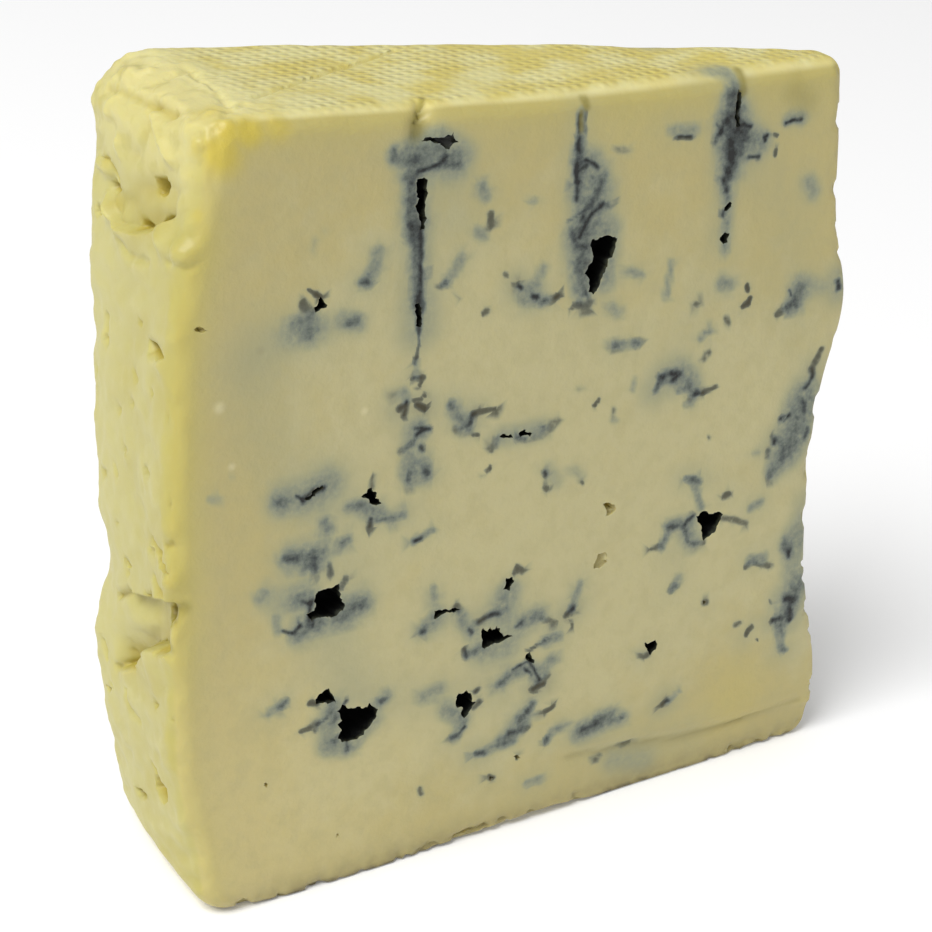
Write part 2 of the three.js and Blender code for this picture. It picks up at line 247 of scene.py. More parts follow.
RIND_PITS = (  # depth, then the outline as deep and up
    # under the rim
    (2.2, (12.1, 94.8), (9.5, 95.6), (8.9, 95.2), (9.2, 94), (10.4, 93.2), (12, 93), (12.2, 93.9)),
    (1.4, (26.8, 89.9), (24.6, 90.5), (23.4, 90), (25.2, 89.1), (26.8, 89.1)),
    (1.2, (29.5, 86.2), (27.8, 86.5), (27.4, 85.9), (29, 85), (29.9, 85.3)),
    (0.7, (29.5, 92.3), (26.8, 93.3), (25.2, 93.3), (27.4, 92.2)),
    # in the fold
    (1.5, (11.2, 89), (10.5, 90.1), (8.3, 91.5), (5.9, 91.9), (8.5, 90.5), (10.6, 89.1)),
    (1.2, (17.3, 87.2), (16.7, 88.3), (14.9, 88.8), (13.3, 88.6), (14.4, 87.9), (16.2, 87)),
    # in the broken hollow
    (1.7, (4.2, 43.6), (2.7, 45), (1, 45.5), (0.4, 44.6), (0.6, 43.2), (1.8, 42.4), (3.4, 42.6)),
    (1.1, (6.2, 37.4), (3.4, 39.3), (2.4, 38.9), (3, 37.8), (5.2, 36.8)),
    (1.2, (16.3, 29.6), (14.1, 32.1), (11.3, 35), (8.3, 36.8), (8.9, 35.6), (12.3, 32.8), (14.7, 30.5)),
    # round the hollow
    (1.1, (18.7, 43.6), (17.5, 43.6), (16, 43.5), (17.6, 42.5), (18.8, 42.8)),
    (1.1, (4, 50.8), (2.2, 50.3), (1, 49.8), (1.8, 49.2), (3.3, 49.3), (4.9, 49.8)),
    (1.1, (18.6, 39.3), (16.2, 40.2), (15.5, 39.7), (18.3, 38.6)),
    (1.5, (11.6, 41.9), (8.2, 43.7), (6.8, 43.5), (10.3, 41.6)),
    (0.8, (28.2, 20.4), (25.6, 21.4), (26.9, 19.9)),
    (0.6, (8.2, 28.7), (6.2, 29.3), (7.3, 28)),
    (0.6, (1.6, 30), (0.9, 29.7), (1.2, 29.2)),
    # near the base
    (1.8, (8.9, 18.2), (7.9, 17.6), (6.1, 17.2), (5.8, 15.5), (7.6, 13.9), (9.4, 14), (10.7, 14.4),
        (10.5, 16)),
    (1.2, (19.9, 9.2), (17.6, 10.1), (15.5, 10.5), (16.3, 9.3), (18.5, 8.4)),
    # in the middle
    (1.4, (9.6, 76.2), (7.1, 76.6), (4.1, 76.7), (2.7, 76.4), (5.1, 75.2), (8.2, 74.9)),
    (0.9, (10.1, 60), (7.8, 60.5), (6.3, 60.2), (8.7, 59.4)),
    (0.8, (18.5, 59), (17, 59.4), (17, 58.6), (18.5, 58.2)),
    (0.8, (25.6, 71.3), (23.9, 71), (24.3, 69.8), (26, 70.1)),
    (0.6, (26.9, 52.3), (25.5, 52.5), (26.5, 51.5)),
    (0.5, (13, 77.6), (11.4, 77.6), (12.1, 76.7), (13.3, 76.8)),
    (0.5, (2.1, 70), (1.5, 69.5), (1.8, 68.9)),
    (0.5, (22.1, 47.2), (20.4, 47.7), (21.3, 46.8)),
    (0.5, (1.2, 59.3), (0.8, 58.7), (1.2, 58.1)),
)
PIT_LIP, PIT_SLOPE = 0.25, 0.6  # a pit's wall runs from this far outside its outline to this far inside
CREASES = (  # reach, depth, then the path as along, deep and up
    (0.8, 0.5, (4.9, 27.8, 101.1), (4.5, 20.1, 102.1), (4.3, 13.2, 102.7), (4.2, 9.7, 102.8)),
    (0.8, 0.4, (5.8, 19.6, 103.4), (7.4, 18.2, 104.3), (11.6, 20, 104.4)),
    (0.6, 0.35, (11.2, 19.2, 104.4), (10.6, 11.8, 104.3), (9.1, 5.7, 104.3)),
    (0.6, 0.3, (3.8, 2.2, 102.5), (3.7, 1.2, 101.1), (3.2, 1.6, 99.3)),
    (0.6, 0.25, (5.1, 1.1, 103.4), (7.8, 3, 104.4), (11.3, 5.6, 104.2)),
    (0.5, 0.5, (3.4, 26.7, 92.7), (3, 23.9, 91.1)),
    (0.35, 0.35, (13.8, 8, 104.1), (16.6, 9.5, 103.9), (28.3, 16.1, 103.4), (40.6, 21.5, 103.1)),
    (0.5, 0.6, (-0.7, 7.7, 51.1), (-1.4, 4, 50.8)),
    (0.5, 0.5, (-1.7, 1.9, 52.9), (-1.2, 0.9, 53.4)),
    (0.5, 0.7, (1.6, 22.2, 36.5), (1, 18.3, 38.8)),
    (0.5, 0.6, (-0.8, 7.1, 46.3), (-1.2, 5.2, 45.6), (-1.6, 2.7, 46.1)),
    (0.7, 0.7, (-1, 0.6, 44.7), (0.2, 0, 45.4), (1.3, 0, 45.5)),
    (0.5, 0.7, (1.9, 23.5, 25.6), (0.9, 16.4, 29.3)),
    (0.5, 0.5, (2.6, 27.8, 27.2), (2.5, 27.1, 25.8), (2.4, 26.7, 25.3)),
    (0.5, 0.6, (0.5, 10.7, 17.9), (0.5, 10.1, 17.2)),
    (0.5, 0.4, (1.4, 19.5, 24.2), (1.4, 18.7, 21.7), (0.9, 15, 21.9)),
    (0.5, 0.35, (2.2, 20.4, 84.7), (1.8, 16.9, 84), (1.2, 10.2, 85.4)),
    (0.5, 0.4, (3.2, 0, 88.4), (1.6, 0.6, 87.7), (0.9, 4.2, 87.4)),
    # small dimples
    (0.6, 0.5, (2.3, 25.2, 73.4), (2.2, 25.2, 71.5)),
    (0.5, 0.4, (2.8, 29.4, 64.7)),
    (0.6, 0.4, (0.8, 14.5, 70), (0.7, 13.4, 69.6)),
    (0.6, 0.45, (1.4, 20.3, 62.9)),
    (0.5, 0.4, (-0.5, 6.8, 70.7)),
    (0.6, 0.5, (2.5, 28, 51.2), (2.3, 26.6, 51.5)),
    (0.5, 0.5, (-0.9, 6.8, 50), (-0.6, 8.2, 49.6)),
    (0.6, 0.5, (0.9, 17.7, 41.9)),
    (0.5, 0.5, (1.1, 18.7, 38.3)),
    (0.6, 0.4, (1.5, 20.9, 28.9)),
    (0.6, 0.4, (2.3, 25.5, 21.9)),
    (0.5, 0.35, (-0.7, 7.2, 29)),
    (0.6, 0.4, (0.9, 15, 66)),
    (0.6, 0.4, (1.8, 22, 54.5), (1.7, 21.3, 53.9)),
)
RIDGES = (  # reach, height, then the path as along, deep and up
    (0.9, 0.8, (3.6, 13.6, 101.7), (3.1, 11.3, 100.5), (2.9, 8.9, 99.2), (2.8, 7.2, 98.3)),
    (0.9, 0.25, (5.4, 15.3, 103.5), (5.4, 10.7, 103.7), (4.5, 6.4, 103.2), (3.8, 4.6, 102.4)),
    (0.7, 0.5, (4.4, 24.7, 101.1), (4, 25.8, 99.9), (3.8, 26, 99)),
    (0.9, 0.5, (6.2, 27.7, 102.7), (6.5, 23.5, 103.5), (7.6, 22.5, 104.1)),
    (0.8, 0.2, (10.2, 17.2, 104.4), (10.3, 13.6, 104.3), (10.2, 10.6, 104.3)),
    (0.9, 0.3, (6.2, 3.9, 104.3), (5.9, 1.9, 104.1)),
    (1.2, 0.2, (0.2, 0, 44.2), (-0.5, 0.3, 42.9), (-1.1, 0.7, 40.9), (-1.5, 1.3, 38.4)),
    (0.8, 0.5, (3.2, 22.4, 96.2), (3.1, 21.9, 94.7)),
    (0.8, 0.6, (3.8, 29.8, 91.4), (3.4, 26.9, 91.1)),
)
SKIN_LUMPS = (  # reach, height, then the place as along, deep and up
    (1.9, 1.6, (1.5, 5.9, 89.6)),
    (1.7, 1, (1.3, 1.9, 89.2)),
    (1.4, 0.3, (2.4, 0.5, 90.1)),
    (1.5, 1, (2.9, 24.7, 87.7)),
    (1.5, 0.8, (2.5, 21.3, 86.7)),
    (0.9, 0.5, (-0.8, 3.6, 75.2)),
    (1.5, 0.9, (-1.3, 0.9, 48.5)),
    (0.8, 0.4, (0.9, 17.4, 57.9)),
    (1, 0.4, (-0.4, 8.7, 58.3)),
    (2.6, 0.8, (-0.5, 8.2, 33.4)),
    (2, 0.2, (8.2, 15.6, 104.5)),
    (1.6, 0.4, (6.5, 25.1, 103.3)),
)
RIND_NOISE = ((5, 0.42), (2, 0.34), (1, 0.1))  # lump size and height
RIM_LUMPIER, RIM_BAND = 0.3, (86, 97)  # the lumps grow by this share up the rim
ABOVE_BASE = (1, 5)  # relief grows between these heights, so that the base stays flat
LUMP_RUN, LUMP_STRETCH = np.array([0, -0.86, 0.51]), 2.2  # the rind's lumps are drawn out along this way
TOP_NOISE = ((11, 0.3), (3, 0.12))
SHOULDER_NOISE = ((2.2, 0.26), (1.1, 0.18))  # finer lumps round the rim
SHOULDER_UP, SHOULDER_ALONG = (93, 100), (10, 20)
EDGE_NOISE, EDGE_REACH = ((4.5, 0.7), (1.8, 0.3)), 2.2  # lumps along the rind's front edge
CUT_NOISE = ((16, 0.16), (4, 0.03))
CHIPS = ((3.6, 2.2), (1.5, 1.8), (0.9, 0.6))  # crumbs broken from the base's front edge and the tip
CHIP_REACH = 1.2
FEWER_CHIPS, FEWER_UP = 0.5, (6, 14)  # the tip's edge loses less than the base's
BASE_EDGE = (  # how far the base's front edge sags, along the front
    (0, 0), (10, 0.4), (19, 0.7), (28, 0.5), (37, 0), (46, -0.4), (56, -0.7), (66, 0.7), (77, 0.9),
    (88, 0.3), (99, 0),
)
EDGE_SAG_REACH = 2.5
FORM_SHOWS, FOLD_SHOWS, FOLD_PROBE = 0.12, 0.35, 0.5  # cells are finer at deeper forms and steeper folds
KNIFE_LINE = (  # groove along the step: reach, depth, then the path
    (0.8, 0.35, (57.7, 0, 8), (63.1, 0.4, 7.2), (68.7, 0.6, 6.6), (76.6, 0.6, 5.2), (84.5, 0.6, 5.3),
        (98, 0, 5.6)),
)
NEEDLE_MOUTH = (  # dent where needle one went in: reach, depth, then the path
    (0.7, 1.5, (32.4, 1.6, 102.8), (31.3, 0, 100.8)),
    (1.4, 1.1, (31.3, 0, 100.4), (31.2, 0, 99.4)),
)


def lumps(p, size, shift=0):
    """Soft noise from -1 to 1 at each point, with lumps of about this size."""
    return np.array([noise.noise(Vector(q)) for q in p / size + shift])


def distance_to_path(p, path):
    nearest = np.full(len(p), np.inf)
    for start, end in zip(path, path[1:] or path):
        run = np.subtract(end, start)
        share = np.clip((p - start) @ run / max(run @ run, 1e-6), 0, 1)
        nearest = np.minimum(nearest, np.linalg.norm(p - start - np.outer(share, run), axis=1))
    return nearest


def fold_relief(deep, up):
    """Height of the folds: the skin above each line and below it stands out or in by its own amount."""
    out = np.zeros(len(deep))
    for above, reach_above, below, reach_below, *line in FOLDS:
        at, height = np.transpose(line)
        over = up - np.interp(deep, at, height)
        side = ramp(over, -FOLD_EDGE, FOLD_EDGE)
        ends = ramp(deep - at[0], -FOLD_END, FOLD_END) * ramp(at[-1] - deep, -FOLD_END, FOLD_END)
        upper = above * np.exp(-((np.maximum(over, 0) / reach_above) ** 2))
        lower = below * np.exp(-((np.minimum(over, 0) / reach_below) ** 2))
        out += ends * (side * upper + (1 - side) * lower)
    return out


def pit_depth(deep, up):
    place, depth = np.column_stack([deep, up]), np.zeros(len(deep))
    for full, *outline in RIND_PITS:
        ends = [*outline[1:], outline[0]]
        inside = np.zeros(len(deep), dtype=bool)
        for (x0, z0), (x1, z1) in zip(outline, ends):
            if z0 != z1:
                inside ^= ((z0 > up) != (z1 > up)) & (deep < x0 + (up - z0) * (x1 - x0) / (z1 - z0))
        away = distance_to_path(place, [*outline, outline[0]])
        depth = np.maximum(depth, full * ramp(np.where(inside, away, -away), -PIT_LIP, PIT_SLOPE))
    return depth


def along_paths(p, paths):
    """Height of forms that follow paths, each full on its path and fading with its reach."""
    height = np.zeros(len(p))
    for reach, full, *path in paths:
        height = np.maximum(height, full * np.exp(-((distance_to_path(p, path) / reach) ** 2)))
    return height


def on_skin(p):
    """1 on the rind and the top, fading to 0 under them."""
    return 1 - ramp(-skin_distance(*p.T), 0, RIND_SKIN)


def top_share(p):
    """0 on the rind, 1 on the top, and between them round the rim."""
    along, deep, up = p.T
    return ramp(along - rind_along(deep, up) - top_height(along, deep) + up, -RIM_BLEND, RIM_BLEND)


def on_rind(p):
    return on_skin(p) * (1 - top_share(p))


def skin_hollows(p):
    """Depth of the pits and creases at each point of the skin."""
    pits = on_rind(p) * pit_depth(p[:, 1], p[:, 2])
    return np.maximum(pits, on_skin(p) * along_paths(p, CREASES))


def layers(p, noises):
    return sum(height * lumps(p, size) for size, height in noises)


def rind_lumps(p):
    return layers(p - np.outer(p @ LUMP_RUN, LUMP_RUN) * (1 - 1 / LUMP_STRETCH), RIND_NOISE)


centres = read_faces("center")
forms = np.maximum(skin_hollows(centres), on_skin(centres) * along_paths(centres, RIDGES))
above, below = (fold_relief(centres[:, 1], centres[:, 2] + step) for step in (FOLD_PROBE, -FOLD_PROBE))
cut_finer((forms > FORM_SHOWS) | (on_rind(centres) * np.abs(above - below) > FOLD_SHOWS), cuts=2)
p = settle(points_of(wedge.data), passes=3)

along, deep, up = p.T
skin = on_skin(p)
rind_relief = rind_lumps(p) * (1 + RIM_LUMPIER * ramp(up, *RIM_BAND)) + fold_relief(deep, up)
for at_deep, at_up, reach_deep, reach_up, out in RIND_FORMS:
    rind_relief += out * np.exp(-(((deep - at_deep) / reach_deep) ** 2) - ((up - at_up) / reach_up) ** 2)
at_edge = np.exp(-((np.hypot(along - rind_along(deep, up), deep) / EDGE_REACH) ** 2))
rind_relief = (rind_relief + at_edge * layers(p, EDGE_NOISE)) * ramp(up, *ABOVE_BASE)
relief = on_rind(p) * rind_relief + skin * top_share(p) * layers(p, TOP_NOISE)
shoulder = skin * ramp(up, *SHOULDER_UP) * (1 - ramp(along, *SHOULDER_ALONG))
relief += shoulder * layers(p, SHOULDER_NOISE)
relief += along_paths(p, SKIN_LUMPS) + skin * along_paths(p, RIDGES) - skin_hollows(p)
relief += (1 - skin) * ramp(up, *ABOVE_BASE) * layers(p, CUT_NOISE)
to_edge = np.hypot(deep, np.minimum(up, tip_along(up) - along))
chipped = np.maximum(layers(p, CHIPS), 0) * (1 - FEWER_CHIPS * ramp(up, *FEWER_UP))
relief -= np.exp(-((to_edge / CHIP_REACH) ** 2)) * chipped
relief -= along_paths(p, KNIFE_LINE) + along_paths(p, NEEDLE_MOUTH)
normals = outward(p)
p += normals / np.linalg.norm(normals, axis=1)[:, None] * relief[:, None]
sag = np.interp(along, *np.transpose(BASE_EDGE)) * np.exp(-((np.hypot(deep, up) / EDGE_SAG_REACH) ** 2))
p[:, 2] = np.maximum(p[:, 2] - sag, 0)
set_points(wedge.data, (p + cut_origin) * MM)


# The veins: blue mould that grew in cracks, needle holes and gaps between the curds, where air reached it.
# The cut crosses them as soft smudges, dark spots and thin lines. Each has its width, how dark it is, and its
# path along and up the front face. On the back cut they gather round its eyes by a seeded draw.
FRONT_VEINS = (
    # clouds of mould under the surface
    (9, 0.12, (12, 78), (20, 78)),
    (8, 0.12, (8, 74), (11, 64)),
    (10.5, 0.16, (19.7, 55.1), (22, 43.7), (20, 35.8)),
    (9, 0.14, (45.3, 33.6), (51.8, 29.1)),
    (7.5, 0.16, (35.5, 94.5), (36.5, 88.1)),
    (7.5, 0.15, (57.6, 87.5), (56.9, 74.5)),
    (9, 0.12, (74.4, 71.4), (71.6, 66.4)),
    (9, 0.12, (88, 82.9), (91.6, 65.6)),
    (6, 0.14, (79.5, 94.8), (80.8, 89.4)),
    (6, 0.14, (75.5, 39.7), (72.6, 34.4)),
    (5.4, 0.28, (93.9, 54.3), (91.1, 46)),
    (3.9, 0.3, (94.2, 32.3), (94.5, 26)),
    (3.6, 0.2, (95, 38.3), (94.6, 32.3)),
    (7.5, 0.14, (61.1, 8.9), (78.4, 5.5)),
    (7, 0.15, (24, 26.5), (46, 20.5)),
    (4, 0.15, (36, 34.5)),
    (4, 0.14, (76, 95), (76.5, 80)),
    (2.4, 0.25, (34, 98.4)),
    # dots near the rind
    (0.9, 0.26, (3.5, 58.8), (4.7, 58.3)),
    (0.4, 0.35, (6.3, 61.4), (6.6, 61.3)),
    # upper left
    (0.6, 0.85, (17.7, 82), (18.2, 81.6)),
    (0.4, 0.5, (16.6, 82.7), (17.5, 82)),
    (0.8, 0.5, (15.8, 81.2), (15.9, 81)),
    (0.8, 0.5, (16.4, 80.3), (16.6, 79.5), (17, 79.8)),
    (1.5, 0.38, (14.9, 78.9), (17, 78.5)),
    (2.4, 0.2, (14.1, 77.5), (18.1, 77.4)),
    (0.9, 0.4, (16.4, 77), (16.8, 76.8)),
    (0.9, 0.55, (22.2, 77.7), (23.1, 77.7)),
    (1.9, 0.3, (21.5, 78.1), (23.3, 77.4)),
    (1.6, 0.42, (25.8, 85.9), (25.6, 84.2), (24.3, 82.6)),
    (0.9, 0.62, (23.7, 82.4), (24.7, 82.2)),
    (0.8, 0.22, (16.8, 87.8), (18.3, 89.5)),
    # needle one
    (2.4, 0.32, (28, 97.4), (30.2, 96.7)),
    (0.9, 0.45, (27.6, 97.8), (28, 97.1)),
    (3.3, 0.42, (32, 97.2), (36.1, 95.9)),
    (0.6, 0.92, (31.2, 94.9), (32.8, 95.2), (34.5, 95.9)),
    (0.6, 0.8, (34.6, 96.1), (34.9, 96.3)),
    (0.9, 0.5, (34.1, 95.3), (36.6, 95.2)),
    (2.7, 0.4, (30.4, 95.9), (30.7, 88.4)),
    (1.3, 0.5, (30.1, 94.1), (30.5, 87.6)),
    (1.9, 0.62, (31, 88), (31.4, 78.6)),
    (0.6, 0.85, (31.7, 87.9), (31.8, 78.8)),
    (1.2, 0.8, (31.7, 78.8), (31.8, 75.1)),
    (0.4, 0.65, (31.8, 75.1), (31.8, 73.4), (31.5, 71.4)),
    (0.4, 0.6, (31.5, 71.5), (31.3, 70.8)),
    (1.1, 0.3, (31.5, 70.8), (31.5, 69)),
    (0.6, 0.65, (31.1, 68.9), (32.7, 68.6)),
    (0.4, 0.55, (32.3, 68.1), (31.9, 67.5)),
    (1.3, 0.42, (29.9, 67.3), (30.2, 66.4)),
    (0.8, 0.92, (29.2, 65.2), (29.9, 65.3)),
    (0.6, 0.85, (30.1, 65.6), (30.2, 65.9)),
    (0.6, 0.9, (30.1, 64.7), (30, 64.2)),
    (0.4, 0.6, (31.2, 66), (32.2, 65.8), (33, 66.4)),
    (0.8, 0.97, (31.9, 65.1), (32.7, 64.6)),
    (0.4, 0.9, (32.7, 64.6), (32.8, 64.2)),
    (3, 0.3, (31, 62), (31.9, 55.8)),
    (1.5, 0.45, (32.3, 62.1), (32.9, 61.4)),
    (0.4, 0.7, (31.6, 62.2), (33.6, 61.6)),
    (0.6, 0.92, (32, 61.3), (32.9, 61.6), (33.6, 61.6)),
    (0.6, 0.55, (31.8, 60.9), (30.9, 59.9), (29.7, 59.5)),
    (0.6, 0.8, (32.5, 59.4), (32.7, 59)),
    (0.8, 0.82, (33.3, 56), (33.5, 55.6)),
    (1.5, 0.4, (33.3, 56.8), (33.5, 55.3)),
    (1.5, 0.32, (30.7, 57.4), (31, 55.5)),
    (0.6, 0.5, (30.9, 55.9), (30.9, 55.4)),
    (0.6, 0.35, (30.8, 54.1), (31.1, 53.9)),
    (0.4, 0.4, (28.1, 67), (28.2, 67.1)),
    # upper centre
    (1.3, 0.4, (40.1, 91.8), (40.6, 90.6)),
    (0.8, 0.5, (41.5, 88.1), (41.6, 86.6)),
    (1.1, 0.35, (39.8, 86.1), (40.6, 85.5)),
    (0.9, 0.35, (47.3, 88.8), (48, 88.8)),
    (1.3, 0.38, (37.5, 83.1), (36.8, 81.8), (35.3, 80.4)),
    (0.6, 0.5, (34.7, 80.1), (35.4, 80.5)),
    (0.8, 0.45, (41.1, 75.4), (41.5, 75.6)),
    (0.6, 0.4, (43.9, 80.1), (44.2, 79.9)),
    (0.4, 0.3, (36.8, 78.5), (37.4, 78.1)),
    (0.8, 0.95, (45.9, 78.2), (46.2, 78)),
    (0.8, 0.95, (48.2, 76.5), (48.7, 76.3)),
    (0.6, 0.9, (51.5, 75.7), (52, 75.9)),
    (1.8, 0.42, (46.9, 76.2), (49.6, 75.7)),
    (0.8, 0.42, (49.6, 75.6), (51.2, 75.6)),
    (1.3, 0.35, (48.8, 78.2), (49.5, 79.9)),
    (1.5, 0.3, (46.1, 77.7), (47.7, 78)),
    # needle two
    (1.2, 0.4, (54.1, 99.2), (54.2, 93.1)),
    (0.6, 0.8, (53.9, 98.9), (54, 94.4)),
    (0.4, 0.45, (54.7, 99), (54.7, 96.7)),
    (1.2, 0.5, (54, 94.4), (54.2, 88)),
    (0.6, 0.95, (53.8, 92.8), (53.9, 90.4)),
    (0.4, 0.75, (54.1, 90.3), (54.2, 88)),
    (0.6, 0.85, (53.6, 91.7), (55.2, 92.1)),
    (0.6, 0.88, (55.1, 93), (56.3, 92.4), (57, 91.7)),
    (3.6, 0.42, (55.5, 92.3), (56.9, 88.9), (55.6, 84.6)),
    (0.8, 0.6, (58, 90.3), (57.2, 88.9), (56.4, 87)),
    (0.6, 0.92, (58.1, 86.9), (56.5, 86), (55.4, 84.3), (54.7, 83.1)),
    (0.6, 0.7, (55.8, 86.9), (55, 85.3)),
    (0.3, 0.5, (52.8, 85.4), (55.5, 86.5)),
    (3.6, 0.42, (55.3, 82.7), (55.8, 79.7)),
    (0.8, 0.6, (53.7, 83.9), (54.4, 82.1), (55.8, 81.7)),
    (1.8, 0.48, (55.3, 79.8), (55.6, 76)),
    (0.6, 0.65, (56.2, 75.7), (56.9, 74.2)),
    (0.8, 0.6, (54.9, 74.3), (56.6, 73.6)),
    (0.4, 0.4, (53.9, 73.7), (54.9, 74.3)),
    (0.8, 0.5, (58.4, 86.5), (59, 86.6)),
    (2.1, 0.32, (59.4, 83.3), (59.2, 76.7)),
    (0.8, 0.3, (60.2, 93.6), (61.1, 93.4)),
    # upper right
    (0.6, 0.92, (69, 94), (70.9, 93.8)),
    (1.6, 0.35, (68, 95), (71.4, 94.6)),
    (1.1, 0.35, (62.9, 77.2), (64.8, 76.5)),
    (0.9, 0.35, (69.3, 77.5), (69, 75.1), (68.8, 72.9)),
    (1.2, 0.28, (60.4, 72.8), (61.4, 71.8)),
    (0.8, 0.6, (61.1, 67.5), (61.7, 67.4)),
    (0.6, 0.5, (64.2, 67.3), (65, 67.2)),
    (1.2, 0.36, (60.9, 67.7), (64.8, 67.1)),
    (0.9, 0.38, (76.3, 66.8), (74.9, 66.2)),
    (0.8, 0.38, (76.5, 63.8), (75.6, 63.1)),
    (0.8, 0.35, (73.5, 70.8), (74.3, 71.2)),
    # needle three
    (2.4, 0.5, (77.2, 98.2), (77.7, 93.7)),
    (3.3, 0.58, (77.4, 94.8), (78.2, 91.4)),
    (0.6, 0.97, (78.3, 98.6), (78.1, 97.2), (78.1, 96.2)),
    (0.6, 0.97, (78.1, 95.8), (78.2, 94.9), (78.6, 93.9)),
    (0.6, 0.85, (78.6, 94), (79.4, 94.2), (80.4, 93.9)),
    (0.8, 0.85, (76.6, 95.3), (76, 94.4), (75.6, 93.6)),
    (0.6, 0.6, (75.1, 93.6), (74.9, 92.5)),
    (0.4, 0.6, (75, 94.8), (75.2, 94.6)),
    (0.8, 0.92, (77.3, 92.4), (77.6, 91.5)),
    (0.8, 0.9, (77.6, 91), (77.5, 90.2)),
    (1.2, 0.7, (78, 90.4), (77.8, 89.1), (77.5, 88.4)),
    (2.1, 0.45, (77.6, 91.1), (77.7, 88.2)),
    (1.3, 0.45, (79.3, 93.3), (79.7, 92.6)),
    (2.4, 0.38, (79.7, 92.7), (82.5, 91.6)),
    (0.6, 0.97, (83.3, 92.3), (82.8, 92.1), (83, 91.6)),
    (0.6, 0.85, (80.6, 89.8), (82.2, 89.6)),
    (0.4, 0.6, (84.6, 92.2), (85.1, 92)),
    (0.4, 0.6, (85, 90.1), (84.9, 89.3)),
    (1.2, 0.45, (77.2, 88.3), (77.6, 84.5)),
    (0.6, 0.7, (76.6, 87.6), (77.3, 85.9)),
    (0.6, 0.75, (77.1, 83.1), (77, 82.4)),
    (1.1, 0.35, (77.7, 82.9), (77.9, 77.7)),
    (1.3, 0.38, (77.5, 99.2), (76.9, 98.1)),
    (1.5, 0.38, (71.7, 102.2), (77.3, 101.1)),
    # right
    (0.6, 0.92, (86.4, 93.5), (87.5, 93.6), (88.7, 93.6)),
    (1.8, 0.35, (86.8, 94), (89, 93.8)),
    (1.8, 0.28, (91.1, 84.9), (92, 83.4)),
    (0.9, 0.9, (97.5, 70.1), (97.8, 69.1)),
    (2.4, 0.2, (91.1, 70.4), (97.4, 69.4)),
    (1.8, 0.45, (91.1, 70.2), (90.7, 68)),
    (1.5, 0.4, (90.1, 68.7), (89.6, 67.9)),
    (0.4, 0.65, (89.4, 70.1), (89.6, 69.5)),
    (0.8, 0.55, (89.6, 67.9), (87.7, 67.1)),
    (1.5, 0.4, (77.8, 73.2), (79, 72.8)),
    (0.6, 0.85, (81.9, 72.1), (82.2, 71.5)),
    (0.6, 0.95, (82.7, 70.3), (82.4, 69.6)),
    (0.6, 0.75, (82.3, 69.4), (81.6, 69.2)),
    (0.8, 0.35, (78.9, 68.1), (79.3, 67.2)),
    (0.8, 0.5, (95.8, 60.5), (94.9, 58.9)),
    (0.8, 0.9, (94.5, 58), (94.7, 56.8)),
    (0.6, 0.75, (94.5, 56.4), (93.6, 55.4)),
    (0.6, 0.55, (93.4, 53.6), (93.8, 52.1)),
    (3.9, 0.42, (93.3, 52.9), (92.1, 48)),
    (0.6, 0.88, (89.7, 51.7), (90.5, 51.6), (91.2, 51.9)),
    (0.8, 0.6, (94.4, 48), (94.6, 49.1)),
    (0.8, 0.97, (89, 48.2), (89.1, 48.5)),
    (0.6, 0.6, (88.5, 49.3), (89.1, 48.9)),
    (0.6, 0.5, (90, 48.1), (90.3, 47.2)),
    (0.6, 0.5, (88, 47.3), (88, 46.5)),
    (1.9, 0.4, (91.3, 46.4), (89.1, 44.1)),
    (0.8, 0.45, (88.8, 43.8), (88.5, 43.1)),
    (1.1, 0.25, (85.5, 47.5), (86.1, 47.5)),
    # right cluster
    (0.6, 0.95, (74.9, 58.2), (76, 58.2)),
    (0.6, 0.5, (76, 58.2), (78.2, 58.5)),
    (0.8, 0.5, (74.9, 58.5), (74.1, 57.5)),
    (1.1, 0.68, (69.4, 61.8), (68.2, 60.2)),
    (0.6, 0.6, (68.4, 62.1), (68.9, 61.6)),
    (0.9, 0.95, (70.5, 62), (71.7, 61.6), (71.1, 61.2)),
    (1.5, 0.42, (69.4, 61.5), (71.1, 61)),
    (2.4, 0.38, (72, 61.8), (74.1, 60.3)),
    (0.9, 0.45, (72, 59.2), (72.8, 59.4)),
    (1.1, 0.4, (73.7, 59.3), (74.9, 58.2)),
    (0.9, 0.3, (73.2, 56.9), (74.7, 56.5)),
    (0.6, 0.62, (58.6, 59.8), (59.2, 60.3)),
    (0.6, 0.35, (61.4, 58.2), (61.7, 58.5)),
    (0.9, 0.28, (61.4, 57.2), (62.4, 56.8)),
    (0.9, 0.32, (64.3, 61.1), (64.6, 61.9)),
    (0.6, 0.35, (77.6, 51.4), (77.8, 51.5)),
    (0.9, 0.25, (55.6, 62.6), (56.4, 62.5)),
    # centre
    (1.1, 0.5, (36.7, 64.3), (36.9, 63.8)),
    (3, 0.28, (37.5, 63.4), (39.3, 60.8)),
    (1.1, 0.4, (37.8, 62.2), (39, 61.2)),
    (0.8, 0.9, (39.9, 61.7), (40.1, 62.3)),
    (0.6, 0.65, (40.1, 62.3), (41, 62.5), (43.5, 62.2)),
    (0.6, 0.8, (39.3, 61), (39.7, 61.2)),
    (0.8, 0.3, (37.4, 60.7), (39.6, 60.2)),
    (0.4, 0.65, (40.3, 59.4), (40.9, 59.2)),
    (3, 0.3, (44.5, 58.3), (50.2, 58.1)),
    (0.6, 0.6, (46.7, 57.8), (48, 57.2)),
    (0.6, 0.45, (43.7, 58), (43, 56.8)),
    (0.4, 0.55, (50.5, 58.4), (50.8, 58.4)),
    (0.8, 0.35, (49.5, 57.4), (51.5, 57.8), (52.9, 58.9)),
    (0.4, 0.6, (43, 54.5), (42.8, 54.2)),
    (0.6, 0.35, (42, 53.6), (42.7, 54.1)),
    (0.6, 0.82, (51.3, 52), (51.5, 51.4)),
